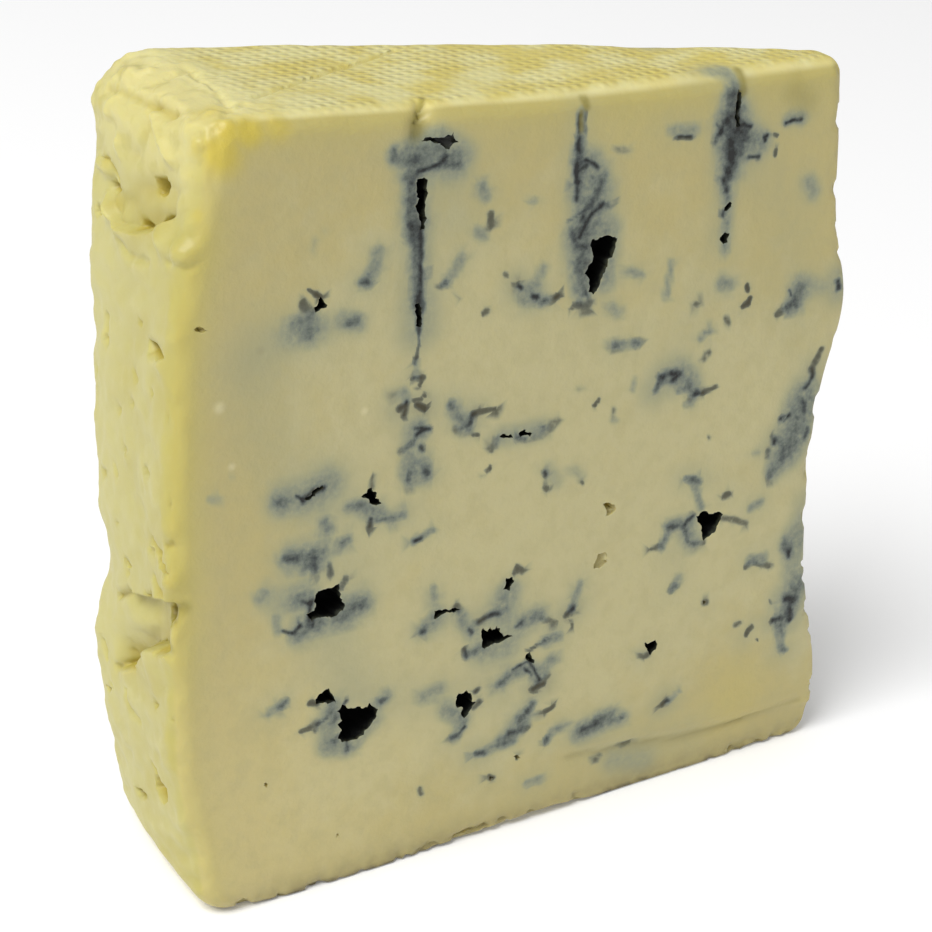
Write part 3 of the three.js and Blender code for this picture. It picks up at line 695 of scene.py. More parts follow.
    (2.4, 0.25, (51.8, 52.2), (53.1, 50.2)),
    (0.6, 0.5, (51.3, 49.7), (51.6, 49.4)),
    (1.5, 0.25, (55.9, 51.3), (57.2, 50.2)),
    (0.4, 0.5, (57.1, 49.3), (57.4, 49)),
    # left middle
    (3, 0.32, (13, 56.2), (16.3, 56.1), (19.4, 57.3)),
    (1.2, 0.4, (12.7, 56.4), (13.3, 56.1)),
    (0.4, 0.85, (15, 56.6), (16.1, 56)),
    (0.8, 1, (16.1, 56), (17.2, 56.6), (18.7, 56.9)),
    (1.2, 0.42, (19.1, 52.1), (19.5, 51.1)),
    (0.9, 0.48, (21.4, 48.6), (22.3, 49.1)),
    (1.1, 0.42, (22.4, 53.5), (24, 53.5)),
    (1.8, 0.42, (24.8, 52.9), (26.8, 51.6)),
    (0.6, 0.9, (25.6, 51.1), (25.3, 50.2)),
    (1.3, 0.5, (28.7, 50.5), (30.2, 50.8)),
    (0.4, 0.45, (26.3, 50.8), (28.6, 50.5)),
    (0.6, 0.35, (25.6, 55.5), (25.9, 56.9)),
    (0.6, 0.85, (32.2, 46.8), (33, 46.9)),
    (0.9, 0.45, (31.7, 46.7), (34.6, 47.6)),
    (2.4, 0.52, (14.2, 48.5), (18, 47.9)),
    (0.8, 0.5, (13.8, 48.5), (15.2, 48.2)),
    (0.8, 0.55, (17.4, 47.5), (17.9, 45.9)),
    (0.9, 0.4, (16.2, 46.4), (17, 46.8)),
    (0.6, 0.62, (19.7, 46.3), (19.9, 45)),
    (3.3, 0.22, (11.5, 43.5), (15.7, 42.5)),
    # left large eye
    (1.5, 0.42, (15.1, 42.6), (17.1, 42.4)),
    (0.4, 0.7, (16.2, 42.2), (16.8, 41.6)),
    (0.8, 0.92, (17.1, 41.8), (17, 39.4)),
    (0.4, 0.85, (17.5, 39.5), (17.5, 38.4)),
    (0.6, 0.92, (15.7, 38.9), (15, 38.3)),
    (0.4, 0.88, (13.2, 38.7), (14, 38.3)),
    (0.4, 0.85, (14.4, 38.3), (14.6, 38.2)),
    (2.1, 0.48, (15.4, 37.8), (17.2, 38.5)),
    (2.4, 0.38, (22.1, 39.6), (24.5, 39.8)),
    (1.1, 0.4, (23.5, 39.7), (24.8, 39.5)),
    (0.6, 0.6, (21.4, 42.8), (22.1, 43.9)),
    (2.1, 0.35, (18.2, 38.8), (22.1, 38.5)),
    (0.9, 0.3, (12.3, 40.8), (12.6, 38.8)),
    (1.1, 0.3, (9.9, 44.2), (10.5, 44.7)),
    # low left
    (1.2, 0.38, (11.2, 27.7), (13.6, 28.7)),
    (0.6, 0.5, (12.8, 28.1), (13.8, 28.8)),
    (0.6, 0.7, (17.2, 27.6), (18.2, 27.2)),
    (1.5, 0.42, (20.4, 26.3), (20.7, 24.5)),
    (3, 0.3, (19.8, 24.1), (20.1, 21.7)),
    (0.6, 0.55, (15.9, 23.9), (17.5, 24.2), (18.2, 24.4)),
    (0.4, 0.5, (17.9, 23.4), (18.1, 24.3), (19.5, 24.9)),
    (0.6, 0.6, (20.7, 21.1), (21.3, 21.4)),
    (0.6, 0.6, (22.6, 20.4), (22.7, 19.1)),
    (2.1, 0.28, (22.4, 19.3), (19.9, 20.3)),
    (0.6, 0.65, (27.7, 24.8), (28, 25.1)),
    (1.2, 0.32, (26.8, 24.6), (28.4, 25.4)),
    (1.8, 0.28, (26.6, 22.2), (23.8, 19.8)),
    (0.4, 0.75, (22, 26.1), (22.4, 26.5)),
    # lower centre
    (1.2, 0.38, (34.9, 39.4), (35.1, 37.9)),
    (1.8, 0.38, (33.7, 33.8), (35.6, 35.2)),
    (0.8, 0.7, (33.3, 33.5), (33.7, 33.5)),
    (0.8, 0.65, (38.5, 35.8), (38.9, 35.2)),
    (1.5, 0.38, (39.4, 34), (40.9, 31.5)),
    (0.6, 0.65, (40.6, 31.9), (41.1, 31.4)),
    (0.8, 0.95, (42.1, 32.7), (43.3, 33.1), (44.8, 33.2)),
    (2.7, 0.38, (46.4, 36), (45.6, 33.3)),
    (0.6, 0.6, (47.2, 38.7), (47.6, 39.3), (48.5, 38.5)),
    (0.6, 0.8, (39.9, 29.2), (40.4, 27.9)),
    (0.9, 0.42, (40.6, 28.3), (42.7, 28.7)),
    (3, 0.28, (43, 28.4), (46.3, 28.2)),
    (1.8, 0.45, (49, 30.9), (51.3, 31.5)),
    (0.4, 0.65, (47.8, 30.5), (48.7, 31)),
    (0.6, 0.42, (51.7, 30.9), (54.1, 29.6)),
    (1.2, 0.45, (52.7, 27.2), (54.7, 27.4)),
    (0.4, 0.55, (50.3, 26.4), (52.9, 27.7)),
    (0.8, 0.95, (56.9, 31), (55.7, 30.3)),
    (1.1, 0.4, (56.7, 31.2), (57.8, 34.4)),
    (0.4, 0.45, (56.7, 29.3), (56.9, 28.6)),
    (0.4, 0.8, (47.6, 24.3), (50.2, 24.8), (52, 21.6)),
    (0.4, 0.7, (49.6, 23.9), (50.7, 22.6)),
    (1.3, 0.45, (45.8, 22.6), (47.6, 23.6), (50.4, 23.9)),
    (0.8, 0.5, (45.6, 22.5), (46.5, 22.8)),
    (1.5, 0.42, (51.5, 22.2), (53.9, 24)),
    (0.8, 0.97, (51.1, 20.4), (52.7, 20.7)),
    (0.8, 0.5, (51.9, 21.1), (53.1, 21.8)),
    # right eye
    (0.6, 0.9, (75.5, 40), (75.9, 40.2)),
    (0.6, 0.65, (74.4, 38.9), (75.1, 39.9)),
    (0.8, 0.6, (72, 39.4), (73.4, 39.1)),
    (1.2, 0.38, (71.8, 39.8), (75.5, 39.5)),
    (0.9, 0.48, (71.9, 38.7), (71.1, 36.7)),
    (0.6, 0.5, (69.2, 36.7), (70.7, 36.9)),
    (2.1, 0.3, (75.3, 37.6), (76.4, 36.3)),
    (0.6, 0.5, (74.9, 38.3), (75.2, 36.6), (76.7, 35.7), (78, 35.8)),
    (0.9, 0.42, (75.3, 45.6), (76.6, 42.9), (77.2, 41.2)),
    (0.9, 0.6, (74.3, 46), (76.7, 45.2)),
    (0.8, 0.42, (81, 38.7), (83.3, 37.9), (85.3, 37)),
    (1.3, 0.42, (85.8, 39.2), (87.4, 39.7)),
    (0.8, 0.58, (80.9, 42.1), (81.7, 42)),
    (1.5, 0.4, (86.4, 31.2), (88.9, 30.8)),
    (0.6, 0.5, (86, 30.1), (86.9, 30.6), (90.1, 29.3)),
    (1.2, 0.5, (92.4, 32.4), (93.3, 30.5)),
    (0.6, 0.72, (93.3, 31), (93.6, 30)),
    (0.8, 0.55, (73.1, 29.7), (73.8, 30.2)),
    (1.2, 0.32, (73.3, 29.8), (74.4, 31.1)),
    (0.8, 0.45, (79, 26.4), (79.5, 26.3)),
    # lower right
    (0.8, 0.55, (69.5, 20.5), (70, 20.7)),
    (2.1, 0.18, (67.6, 21.3), (69.2, 21.5)),
    (0.8, 0.92, (73, 11.9), (73.8, 12.3)),
    (0.9, 0.35, (74, 12.1), (75.7, 13.2)),
    (0.8, 0.7, (87, 19.4), (87.8, 20.3)),
    (0.8, 0.42, (84.9, 21.3), (85.6, 21.5)),
    (0.4, 0.5, (88.9, 18.1), (89.1, 17.9)),
    (0.4, 0.45, (90.7, 23.7), (91, 23.4)),
    (1.2, 0.85, (93.6, 23.3), (95, 22.9)),
    (3, 0.5, (96.1, 24.7), (94.2, 22)),
    (0.9, 0.85, (94.5, 21.4), (94.7, 19.8)),
    (0.8, 0.92, (91.5, 20.3), (92.8, 20.3)),
    (2.4, 0.5, (93, 19.7), (94.4, 20.7)),
    (1.5, 0.45, (93.1, 18.8), (93.6, 15.9)),
    (0.9, 0.6, (93.5, 15.5), (94.5, 14.9)),
    # low
    (1.3, 0.3, (33.9, 23.9), (36.4, 24.4)),
    (1.8, 0.38, (37.6, 20.8), (39, 19.9)),
    (1.5, 0.42, (40.3, 18.7), (39, 16.5)),
    (0.4, 0.75, (39.8, 16.9), (40.4, 17.6)),
    (0.8, 0.5, (38.5, 16.4), (39.5, 16.5)),
    (0.6, 0.82, (42, 22.4), (42.3, 22.6)),
    (0.6, 0.7, (41.8, 20.2), (42.6, 20.7)),
    (1.2, 0.45, (51.1, 18.1), (49.5, 16.4)),
    (2.4, 0.42, (49.6, 16.1), (47.4, 13.9)),
    (0.8, 0.62, (47.6, 14.5), (50.4, 14.7)),
    (0.6, 0.5, (49.2, 16.2), (51.1, 17.9)),
    (0.9, 0.5, (46.5, 13.6), (48.4, 13.3)),
    (1.5, 0.4, (45.9, 13.4), (43.7, 12.7)),
    (0.9, 0.68, (42.4, 12.9), (43.5, 12.9)),
    (0.6, 0.65, (53.2, 16.4), (54.5, 16.8)),
    (1.2, 0.42, (53.7, 11.7), (54.4, 12.8), (56.2, 13.1)),
    (0.6, 0.6, (53.5, 11.4), (53.8, 12.1)),
    (2.4, 0.48, (59.2, 11.6), (62.5, 12.1)),
    (0.9, 0.62, (59.7, 11.5), (62, 11.8)),
    (1.3, 0.4, (62.5, 12.6), (64.3, 13.2)),
    (1.5, 0.38, (64.5, 11.9), (66.4, 11.8)),
    (0.4, 0.5, (65.7, 11.8), (66.1, 11.6)),
    (0.4, 0.55, (48.9, 10.6), (49, 10.2)),
    (0.6, 0.35, (62.4, 6.1), (62.9, 6.3)),
    (0.8, 0.6, (44.6, 8.7), (45.1, 8.4)),
    (1.2, 0.4, (50.9, 5.8), (53, 5.9)),
    (3, 0.18, (65.5, 4.6), (71, 3)),
    (0.6, 0.5, (67.4, 6.9), (68.2, 7.2)),
    (0.8, 0.42, (33.7, 10.1), (34, 9.4)),
)
BACK_EYES = (  # along, up, wide, high, tilt
    (48.8, 34.2, 3, 2.6, 21),
    (57.5, 64.1, 2.5, 1.6, 68),
    (43.1, 59.9, 2, 1.6, 54),
    (48.8, 43.1, 2.6, 1.9, 78),
    (60.4, 41.8, 2.9, 2.8, 1),
    (80.8, 51.8, 3.6, 2.3, 58),
    (73.3, 58.3, 5, 5.5, 3),
    (16.3, 60.5, 4.1, 3.4, 49),
    (22.6, 28.5, 2, 1.5, 40),
    (23.2, 68.8, 2.7, 2.3, 28),
    (51.5, 69.5, 2.2, 2.4, 10),
    (22.5, 87.6, 2.4, 2.6, 70),
)
VEINS_AT_EYE = 4
VEIN_BENDS, VEIN_BEND, VEIN_RUN = (1, 3), 0.8, (0.8, 3)  # number, greatest turn, and length between them
VEIN_WIDTHS, VEIN_TONES = (0.6, 2.6), (0.3, 0.9)
BACK_CLUSTERS, CLUSTER_VEINS, CLUSTER_SPREAD = 26, (2, 6), 2.5
CLUSTER_CLEAR, CLEAR_OF_TIP = 8, 4  # how far inside the back cut's edges the clusters stay
BACK_NEEDLES = (27, 49, 72)  # along
NEEDLE_TOP, NEEDLE_DEPTHS = 2, (20, 45)  # below the top
NEEDLE_CLOUD, CLOUD_STARTS, CLOUD_PAST_END = (2.8, 0.35), (3, 9), 6  # its haze's width, tone and run
NEEDLE_STRAY, NEEDLE_RUN = 0.5, (3, 8)
NEEDLE_WIDTHS, NEEDLE_TONES, NEEDLE_BRANCHING = (0.5, 1.5), (0.4, 0.95), 0.4
VEIN_DEPTH, VEIN_FAINTEST = 4, 0.05  # how fast a vein fades behind its cut, and where it ends
VEIN_SPREAD, FAINT_SPREAD = 0.55, 0.85  # fading edge of a dark and a faint vein, as a share of its width
HALO_REACH, HALO_TONE = 3.6, 0.36
VEIN_WANDER, WANDER_SIZE = 0.25, 1.4
FINER_NEAR = (  # cells are cut near a vein: least tone, how near, and whether the back cut's are too
    (0.25, 0.6, True),
    (0.4, 0.35, False),
    (0.65, 0.2, False),
)

draw = random.Random(5)


def vein_from(along, up):
    """A short crooked vein that starts here, with a seeded way, length, width and tone."""
    path = [(along, up)]
    way = draw.uniform(0, 2 * math.pi)
    for _ in range(draw.randint(*VEIN_BENDS)):
        way += draw.uniform(-VEIN_BEND, VEIN_BEND)
        length = draw.uniform(*VEIN_RUN)
        path.append((path[-1][0] + length * math.cos(way), path[-1][1] + length * math.sin(way)))
    return (draw.uniform(*VEIN_WIDTHS), draw.uniform(*VEIN_TONES), *path)


back_veins = [vein_from(eye[0], eye[1]) for eye in BACK_EYES for _ in range(VEINS_AT_EYE)]
for _ in range(BACK_CLUSTERS):
    at = draw.uniform(CLUSTER_CLEAR, FACE_LENGTH - CLEAR_OF_TIP)
    height = draw.uniform(CLUSTER_CLEAR, HEIGHT_AT_TIP - CLUSTER_CLEAR)
    for _ in range(draw.randint(*CLUSTER_VEINS)):
        back_veins.append(vein_from(draw.gauss(at, CLUSTER_SPREAD), draw.gauss(height, CLUSTER_SPREAD)))
for needle in BACK_NEEDLES:
    start, end = (needle, HEIGHT_AT_TIP - NEEDLE_TOP), HEIGHT_AT_TIP - draw.uniform(*NEEDLE_DEPTHS)
    cloud_start = start[1] - draw.uniform(*CLOUD_STARTS)
    back_veins.append((*NEEDLE_CLOUD, (needle, cloud_start), (needle, end - CLOUD_PAST_END)))
    while start[1] > end:
        stop = needle + draw.uniform(-NEEDLE_STRAY, NEEDLE_STRAY), start[1] - draw.uniform(*NEEDLE_RUN)
        back_veins.append((draw.uniform(*NEEDLE_WIDTHS), draw.uniform(*NEEDLE_TONES), start, stop))
        if draw.random() < NEEDLE_BRANCHING:
            back_veins.append(vein_from(*stop))
        start = stop


def vein_tone(place, veins):
    """How dark the mould is at each place on a cut face, from 0 to 1, with a faint halo round each vein."""
    flat = np.column_stack([place, np.zeros(len(place))])
    wander = np.column_stack([lumps(flat, WANDER_SIZE, shift) for shift in (0, 31)])
    place = place + VEIN_WANDER * wander
    clear, halo = np.ones(len(place)), np.zeros(len(place))
    for width, full, *path in veins:
        away = distance_to_path(place, path)
        spread = FAINT_SPREAD + (VEIN_SPREAD - FAINT_SPREAD) * full
        clear *= 1 - full * np.exp(-((away / (spread * width)) ** 2))
        faint = full * HALO_TONE * min(1, width) ** 2
        halo = np.maximum(halo, faint * np.exp(-((away / (width / 2 + HALO_REACH)) ** 2)))
    return np.maximum(1 - clear, halo)


def mould_tone(p, least_width=0):
    """The veins of both cuts that are at least this wide: each set fades into the cheese behind its cut."""
    along, deep, up = p.T
    on_front = np.exp(-((deep / VEIN_DEPTH) ** 2))
    on_back = np.exp(-(((back_depth(along, up) - deep) / VEIN_DEPTH) ** 2))
    tone = np.zeros(len(p))
    for near, veins in ((on_front, FRONT_VEINS), (on_back, back_veins)):
        seen = near > VEIN_FAINTEST
        wide = [vein for vein in veins if vein[0] >= least_width]
        tone[seen] = np.maximum(tone[seen], near[seen] * vein_tone(p[seen][:, [0, 2]], wide))
    return tone


def vein_gap(place, veins, least):
    """Distance of each place on a cut from the edge of the nearest vein that is at least this dark."""
    gap = np.full(len(place), np.inf)
    for width, full, *path in veins:
        if full >= least:
            gap = np.minimum(gap, distance_to_path(place, path) - width / 2)
    return gap


# The cut faces get finer cells where veins run, and the front finer still at their dark middles
for least, reach, back_too in FINER_NEAR:
    centres, facing = read_faces("center") / MM - cut_origin, read_faces("normal")[:, 1]
    finer = np.zeros(len(facing), bool)
    for on_cut, veins in ((facing < -SQUARE_ON, FRONT_VEINS), (facing > SQUARE_ON, back_veins)):
        finer[on_cut] = vein_gap(centres[on_cut][:, [0, 2]], veins, least) < reach
    cut_finer(finer & ((facing < 0) | back_too), cuts=1)


# The eyes and needle tracks: hollows that the cut opened, lined with dark mould where air got in and bare
# where it did not. The wheel was pierced with needles from its top, and the front cut runs down three of the
# holes. Each is given by its depth and its outline along and up.
FRONT_EYES = (
    # upper left
    (3, (17.9, 81.4), (18.3, 81.5), (18.6, 81), (18.9, 80.4), (18.8, 80.1), (18.1, 80), (17.2, 79.9),
        (17.6, 80.5)),
    # needle two's end
    (6, (56.7, 82.4), (57.9, 82.5), (58.6, 82.8), (60.7, 82.2), (60.3, 81.1), (59.9, 79.8), (59.2, 79.1),
        (58.8, 77.3), (58, 76), (57.2, 75), (56.6, 75.8), (56.7, 76.8), (55.9, 78.2), (56.3, 79.2),
        (56.9, 79.6), (57, 80.6), (56.4, 81.7)),
    # left middle
    (4, (24.1, 54.4), (24.8, 55), (25.2, 55.5), (25.8, 54.9), (26.3, 54.7), (26.4, 54), (26.9, 53.5),
        (27, 52.9), (26.2, 52.9), (25.7, 53.1), (24.9, 53.9)),
    # crack
    (2.5, (16.1, 56.1), (16.8, 56.5), (17.4, 56.9), (18.7, 57.2), (18.9, 56.7), (17.8, 56.4),
        (17, 55.8), (16.4, 55.7)),
    # left large
    (6, (18.2, 43.2), (19.3, 43.1), (21, 43.1), (21.4, 42.1), (21.3, 41.5), (22, 40.3), (21.8, 39.5),
        (20.9, 39.1), (19.9, 38.9), (18.8, 39.5), (17.9, 39.5), (17.4, 39), (16.9, 40.2), (17.6, 40.7),
        (17.8, 41.9)),
    # low left small
    (4, (19.6, 29.2), (20.6, 27.5), (20.9, 26.6), (19.9, 27.1), (18.9, 27), (17.9, 27.4), (18.3, 28),
        (18.9, 28.6)),
    # low left heart
    (7, (21.1, 25.4), (22, 26.1), (22.8, 25.3), (23.9, 25.3), (24.9, 24.7), (25.9, 25), (27.1, 24.1),
        (26.9, 23), (25.7, 21.4), (24.2, 20.5), (22.8, 20.4), (21.4, 21.3), (21.7, 22.3), (21.3, 23.4),
        (21.8, 24)),
    # centre ragged
    (5, (42.5, 30.9), (42.7, 31.7), (43.5, 30.9), (43.8, 31.5), (44.3, 30.8), (44.9, 31.4), (45.4, 30.4),
        (46.2, 29.7), (47.3, 29.3), (46, 28.9), (44.3, 28.8), (43.2, 28.6), (42.7, 29.6)),
    # centre upper
    (3, (46, 38.3), (46.5, 37.9), (46.9, 38.2), (47.3, 37.1), (46.8, 36.7), (46.4, 36.1), (45.6, 36.6),
        (45.9, 37.4)),
    # centre left
    (3.5, (35.2, 35.2), (35.2, 35.9), (36, 36.1), (37.3, 35.9), (38.5, 35.9), (38.9, 35.2),
        (38.3, 35.1), (37.3, 35.4), (36.2, 35.2), (35.6, 34.9)),
    # low centre
    (4.5, (38.8, 21.8), (39.4, 22.7), (40.6, 22.8), (41.3, 22), (41.3, 21.1), (42.3, 20.7),
        (41.7, 20.1), (40.9, 19.4), (40.3, 19.1), (39.7, 19.7), (40.1, 20.5), (39.2, 20.9)),
    # right of centre
    (2.5, (49.7, 25.9), (50.2, 26.3), (50.5, 25.3), (51, 24.6), (50.6, 24.4), (49.9, 25.1)),
    # dash right
    (2.5, (47.2, 58.4), (47.8, 58.6), (48.2, 58.2), (49, 57.9), (48.7, 57.5), (48, 57.6),
        (47.5, 57.8)),
    # dash left
    (2, (44, 58.4), (44.9, 58.6), (46, 58.4), (46, 58), (44.8, 58)),
    # right
    (6, (76.6, 40.2), (77.4, 40.6), (78.5, 39.9), (79.9, 39.9), (80.9, 39.5), (80.5, 38.1), (79.5, 36.8),
        (78.2, 36.2), (77.4, 37), (77.5, 38.2), (76.9, 39.2)),
    # right triangle
    (3.5, (69, 22.5), (70, 22.5), (71.2, 22.4), (71.6, 21.7), (71.1, 21.2), (70.5, 20.5),
        (69.7, 21.5)),
    # needle three drop
    (2.5, (77.9, 84.4), (78.4, 84), (78.2, 83.3), (77.6, 82.9), (77.1, 83), (77.6, 83.7)),
    # needle three lower drop
    (2.5, (77.6, 80.2), (78.2, 79.8), (78.1, 79), (77.5, 78.7), (76.9, 79.3)),
    # needle one slot
    (5, (31.1, 93.9), (31.9, 94.3), (32.3, 94), (32.3, 91.9), (32.2, 90.1), (32.1, 87.7), (31.6, 87.7),
        (31.2, 89.6), (31, 92.1)),
    # needle one lower slot
    (3.5, (31.3, 78.5), (32, 78.5), (32.1, 77.2), (32.1, 75.3), (31.5, 75.3), (31.3, 77)),
    # needle one's side
    (1, (31.6, 98.6), (32.3, 99), (33.4, 98.7), (34.2, 98.7), (34.9, 98.9), (35.8, 98.9), (36.1, 98.2),
        (36.5, 97.8), (35.7, 97.7), (35.3, 97.3), (34.6, 97.5), (33.7, 98), (32.6, 98.2),
        (31.8, 98.2)),
    # needle three groove
    (1.8, (77.8, 98.9), (78.5, 98.6), (78.6, 97), (78.4, 95.6), (78.9, 94.1), (78.3, 94.1),
        (77.8, 95.7), (78, 97.1)),
)
BARE_HOLLOWS = (
    # pits in the middle
    (1.2, (61, 45.5), (61.8, 45.3), (62.6, 44.8), (63, 44.1), (62.5, 43.7), (61.7, 43.4),
        (61.4, 43.3), (61.4, 44.4)),
    # lower pit
    (0.8, (60.5, 38.1), (61.6, 38.3), (62, 37.5), (61.9, 36.5), (61.3, 36.2), (60.3, 36.1),
        (59.9, 36.6), (60.4, 37.3)),
    # nick near the rind
    (0.5, (1.6, 80.6), (2.5, 80.5), (3.3, 79.9), (2.7, 79.7), (1.9, 80)),
    # specks
    (0.6, (78.8, 26.8), (79.5, 26.4), (79.4, 26), (78.9, 26.1)),
    (0.6, (44.6, 8.9), (45.3, 8.5), (45.1, 8.1), (44.7, 8.2)),
    (0.6, (48.7, 10.9), (49.2, 10.8), (49.4, 10.1), (48.9, 10.1)),
    (0.6, (21.2, 7.1), (21.6, 6.8), (21.7, 6.4), (21.2, 6.7)),
    (0.5, (10.7, 17.8), (11.2, 17.4), (11.1, 17.1), (10.7, 17.3)),
)
MOUTH_CLEAR = 1.5  # the cutters start this far outside the face
EYE_RINGS = ((0, 1), (0.25, 1.05), (0.55, 0.9), (0.8, 0.6), (1, 0.25))  # share of the depth, and width there
OUTLINE_STEP = 0.25
OVAL_CORNERS, OVAL_SIZES = 11, (0.75, 1.15)  # and how far its corners vary
RAGGED = ((1.3, 0.36), (0.5, 0.3))  # noise size and reach on an eye's wall
SLIVER = 0.02  # faces thinner than this, left by the carving, are dissolved
SHARP_EDGE = math.radians(50)
PLAIN, MOULDY, BARE = 0, 1, 2


def stepped(outline):
    """The outline with points added along its sides."""
    ring = []
    for start, end in zip(outline, [*outline[1:], outline[0]]):
        steps = max(1, round(math.dist(start, end) / OUTLINE_STEP))
        ring += [np.add(start, np.subtract(end, start) * i / steps) for i in range(steps)]
    return ring


def rough_oval(along, up, wide, high, tilt):
    """An uneven oval outline on a cut, with seeded corners."""
    turn = math.radians(tilt)
    oval = []
    for corner in range(OVAL_CORNERS):
        angle = 2 * math.pi * corner / OVAL_CORNERS
        size = draw.uniform(*OVAL_SIZES)
        x, z = size * wide / 2 * math.cos(angle), size * high / 2 * math.sin(angle)
        oval.append((
            along + x * math.cos(turn) - z * math.sin(turn),
            up + x * math.sin(turn) + z * math.cos(turn),
        ))
    return tuple(oval)


def front_eye(depth, outline):
    """The mouth of a hollow in the front cut, the way in, and its depth."""
    ring = [(along, knife_step(along, up) - MOUTH_CLEAR, up) for along, up in stepped(outline)]
    return ring, np.array([0, 1, 0]), depth


def back_eye(along, up, wide, high, tilt):
    """The same for the back cut, where a hollow is as deep as it is wide."""
    outside = back_depth(along, up) + MOUTH_CLEAR
    ring = [(x, outside, z) for x, z in stepped(rough_oval(along, up, wide, high, tilt))]
    return ring, np.array([0, -1, 0]), wide


def cut_hollows(hollows, lining):
    """Carves the hollows out of the wedge and marks their walls with this lining."""
    bpy.ops.object.select_all(action="DESELECT")
    bpy.ops.mesh.primitive_circle_add(vertices=3, location=(0, 0, 0))
    cutter = bpy.context.object
    bpy.ops.object.mode_set(mode="EDIT")
    bpy.ops.mesh.select_mode(type="VERT")
    bpy.ops.mesh.delete(type="VERT")
    for ring, inward, depth in hollows:
        ring = np.array(ring) + cut_origin
        turn = np.cross(ring, np.roll(ring, -1, axis=0)).sum(axis=0)
        if turn @ inward < 0:  # the mouth has to face along the cut for the walls to face out
            ring = ring[::-1]
        bpy.ops.mesh.select_all(action="DESELECT")
        bpy.ops.mesh.primitive_circle_add(vertices=len(ring), fill_type="NGON")
        mesh = bmesh.from_edit_mesh(cutter.data)
        for vertex, place in zip([v for v in mesh.verts if v.select], ring):
            vertex.co = place
        bmesh.update_edit_mesh(cutter.data)
        centre, reached, width = ring.mean(axis=0), -MOUTH_CLEAR, 1
        for share, ring_width in EYE_RINGS:
            move = inward * (share * depth - reached)
            centre, reached = centre + move, share * depth
            bpy.ops.mesh.extrude_region_move(TRANSFORM_OT_translate={"value": move})
            bpy.ops.transform.resize(value=(ring_width / width,) * 3, center_override=centre)
            width = ring_width
    bpy.ops.object.mode_set(mode="OBJECT")
    wall = points_of(cutter.data)
    for size, reach in RAGGED:
        wall += reach * np.column_stack([lumps(wall, size, shift) for shift in (3, 17, 41)])
    set_points(cutter.data, wall * MM)
    for _ in range(lining + 1):
        cutter.data.materials.append(None)
    cutter.data.polygons.foreach_set("material_index", [lining] * len(cutter.data.polygons))
    carve = wedge.modifiers.new("carve", "BOOLEAN")
    carve.object, carve.operation, carve.solver = cutter, "DIFFERENCE", "MANIFOLD"
    bpy.context.view_layer.objects.active = wedge
    bpy.ops.object.modifier_apply(modifier="carve")
    bpy.data.objects.remove(cutter)


for _ in (PLAIN, MOULDY, BARE):
    wedge.data.materials.append(None)
mouldy = [front_eye(depth, outline) for depth, *outline in FRONT_EYES]
mouldy += [back_eye(*eye) for eye in BACK_EYES]
bare = [front_eye(depth, outline) for depth, *outline in BARE_HOLLOWS]
cut_hollows(mouldy, MOULDY)
cut_hollows(bare, BARE)
bpy.ops.object.select_all(action="DESELECT")
wedge.select_set(True)
bpy.ops.object.mode_set(mode="EDIT")
bpy.ops.mesh.select_all(action="SELECT")
bpy.ops.mesh.dissolve_degenerate(threshold=SLIVER * MM)
bpy.ops.object.mode_set(mode="OBJECT")
bpy.ops.object.shade_smooth_by_angle(angle=SHARP_EDGE)


# The finish: cream paste that turns yellow under the rind, a waxy mottled rind with the pressing cloth's
# weave on the top, grey-blue mould, and eye walls lined with dark mould that darken deeper in as painted
# shade. Painted highlight and painted shade are laid on the rind and the cuts too, as marked below. The masks
# are attributes of the mesh.
STAINS = (  # reach, strength and place of the yellow spots where the skin is thin
    (1.6, 0.25, (5.9, 19, 103.5)),
    (1.8, 0.3, (4.1, 11.7, 102.6)),
    (1.6, 0.5, (3.3, 2.4, 101)),
    (3, 0.6, (6.4, 4.6, 104.4)),
    (2.2, 0.9, (6.3, 0.3, 103)),
    (2.8, 1, (5.4, 0, 100.6)),
    (2.4, 0.9, (8.9, 0.3, 102.6)),
    (2.4, 0.6, (12.5, 0.5, 102.6)),
    (3, 0.7, (6, 0, 100)),
    (2, 0.22, (-1, 1, 66), (-1, 1, 54)),
    (9, 0.35, (86, 0, 10)),
    (1.2, 0.5, (3.5, 27.5, 92.7)),
    (1.2, 0.5, (2.7, 1, 93.5)),
)
CREAM = (  # reach, strength and place of paler paste
    (26, 0.5, (4, 0, 10)),
)
WARM = (  # reach, strength and place of warmer paste
    (13, 0.7, (88, 0, 95), (92, 0, 74)),
    (12, 0.5, (86, 0, 12)),
    (7, 0.5, (3, 0, 62), (3, 0, 48)),
)
OLIVE_MARKS_AND_SHADE = (  # reach, strength and path of the olive marks, and of painted shade in the broken hollow
    # painted shade in the broken hollow, on its walls and its lower lip
    (1.1, 0.8, (0.1, 0, 45.2), (-0.7, 0.4, 44.8), (-1.2, 0.9, 43.6)),
    (0.8, 0.6, (-1.4, 1.2, 39.4), (-1.4, 3.9, 39.5), (-0.4, 8, 36.8), (0.5, 13.7, 32.3)),
    (1.7, 0.9, (-1.2, 2.4, 43.8), (-1.2, 3.2, 42.2)),
    (0.9, 1, (-1.6, 1.6, 39.7), (-1.5, 3.6, 39.2)),
    (3, 0.35, (-1.2, 5.5, 41)),
    # at the needles' mouths
    (0.7, 0.9, (54.7, 0.5, 100.8), (54.9, 0, 99.6)),
    (0.5, 0.8, (54.1, 0, 99.2), (54.3, 0, 96.9)),
    (0.8, 1, (78.9, 1.5, 101), (78.8, 0, 98.5)),
    (0.5, 0.8, (33.6, 3.6, 102.8), (32.1, 1.1, 102.5)),
    (0.8, 0.9, (32.2, 1.2, 102.6), (31.3, 0, 100.8)),
    (1.4, 0.9, (31.3, 0, 100.4), (31.2, 0, 99.6)),
    # on the front cut
    (2.8, 0.5, (87.4, 0, 97.4), (89.4, 0, 96)),
    (0.5, 0.55, (40, 0, 70.6), (41.7, 0, 70.1)),
    (0.5, 0.5, (55.6, 0, 62.6)),
)
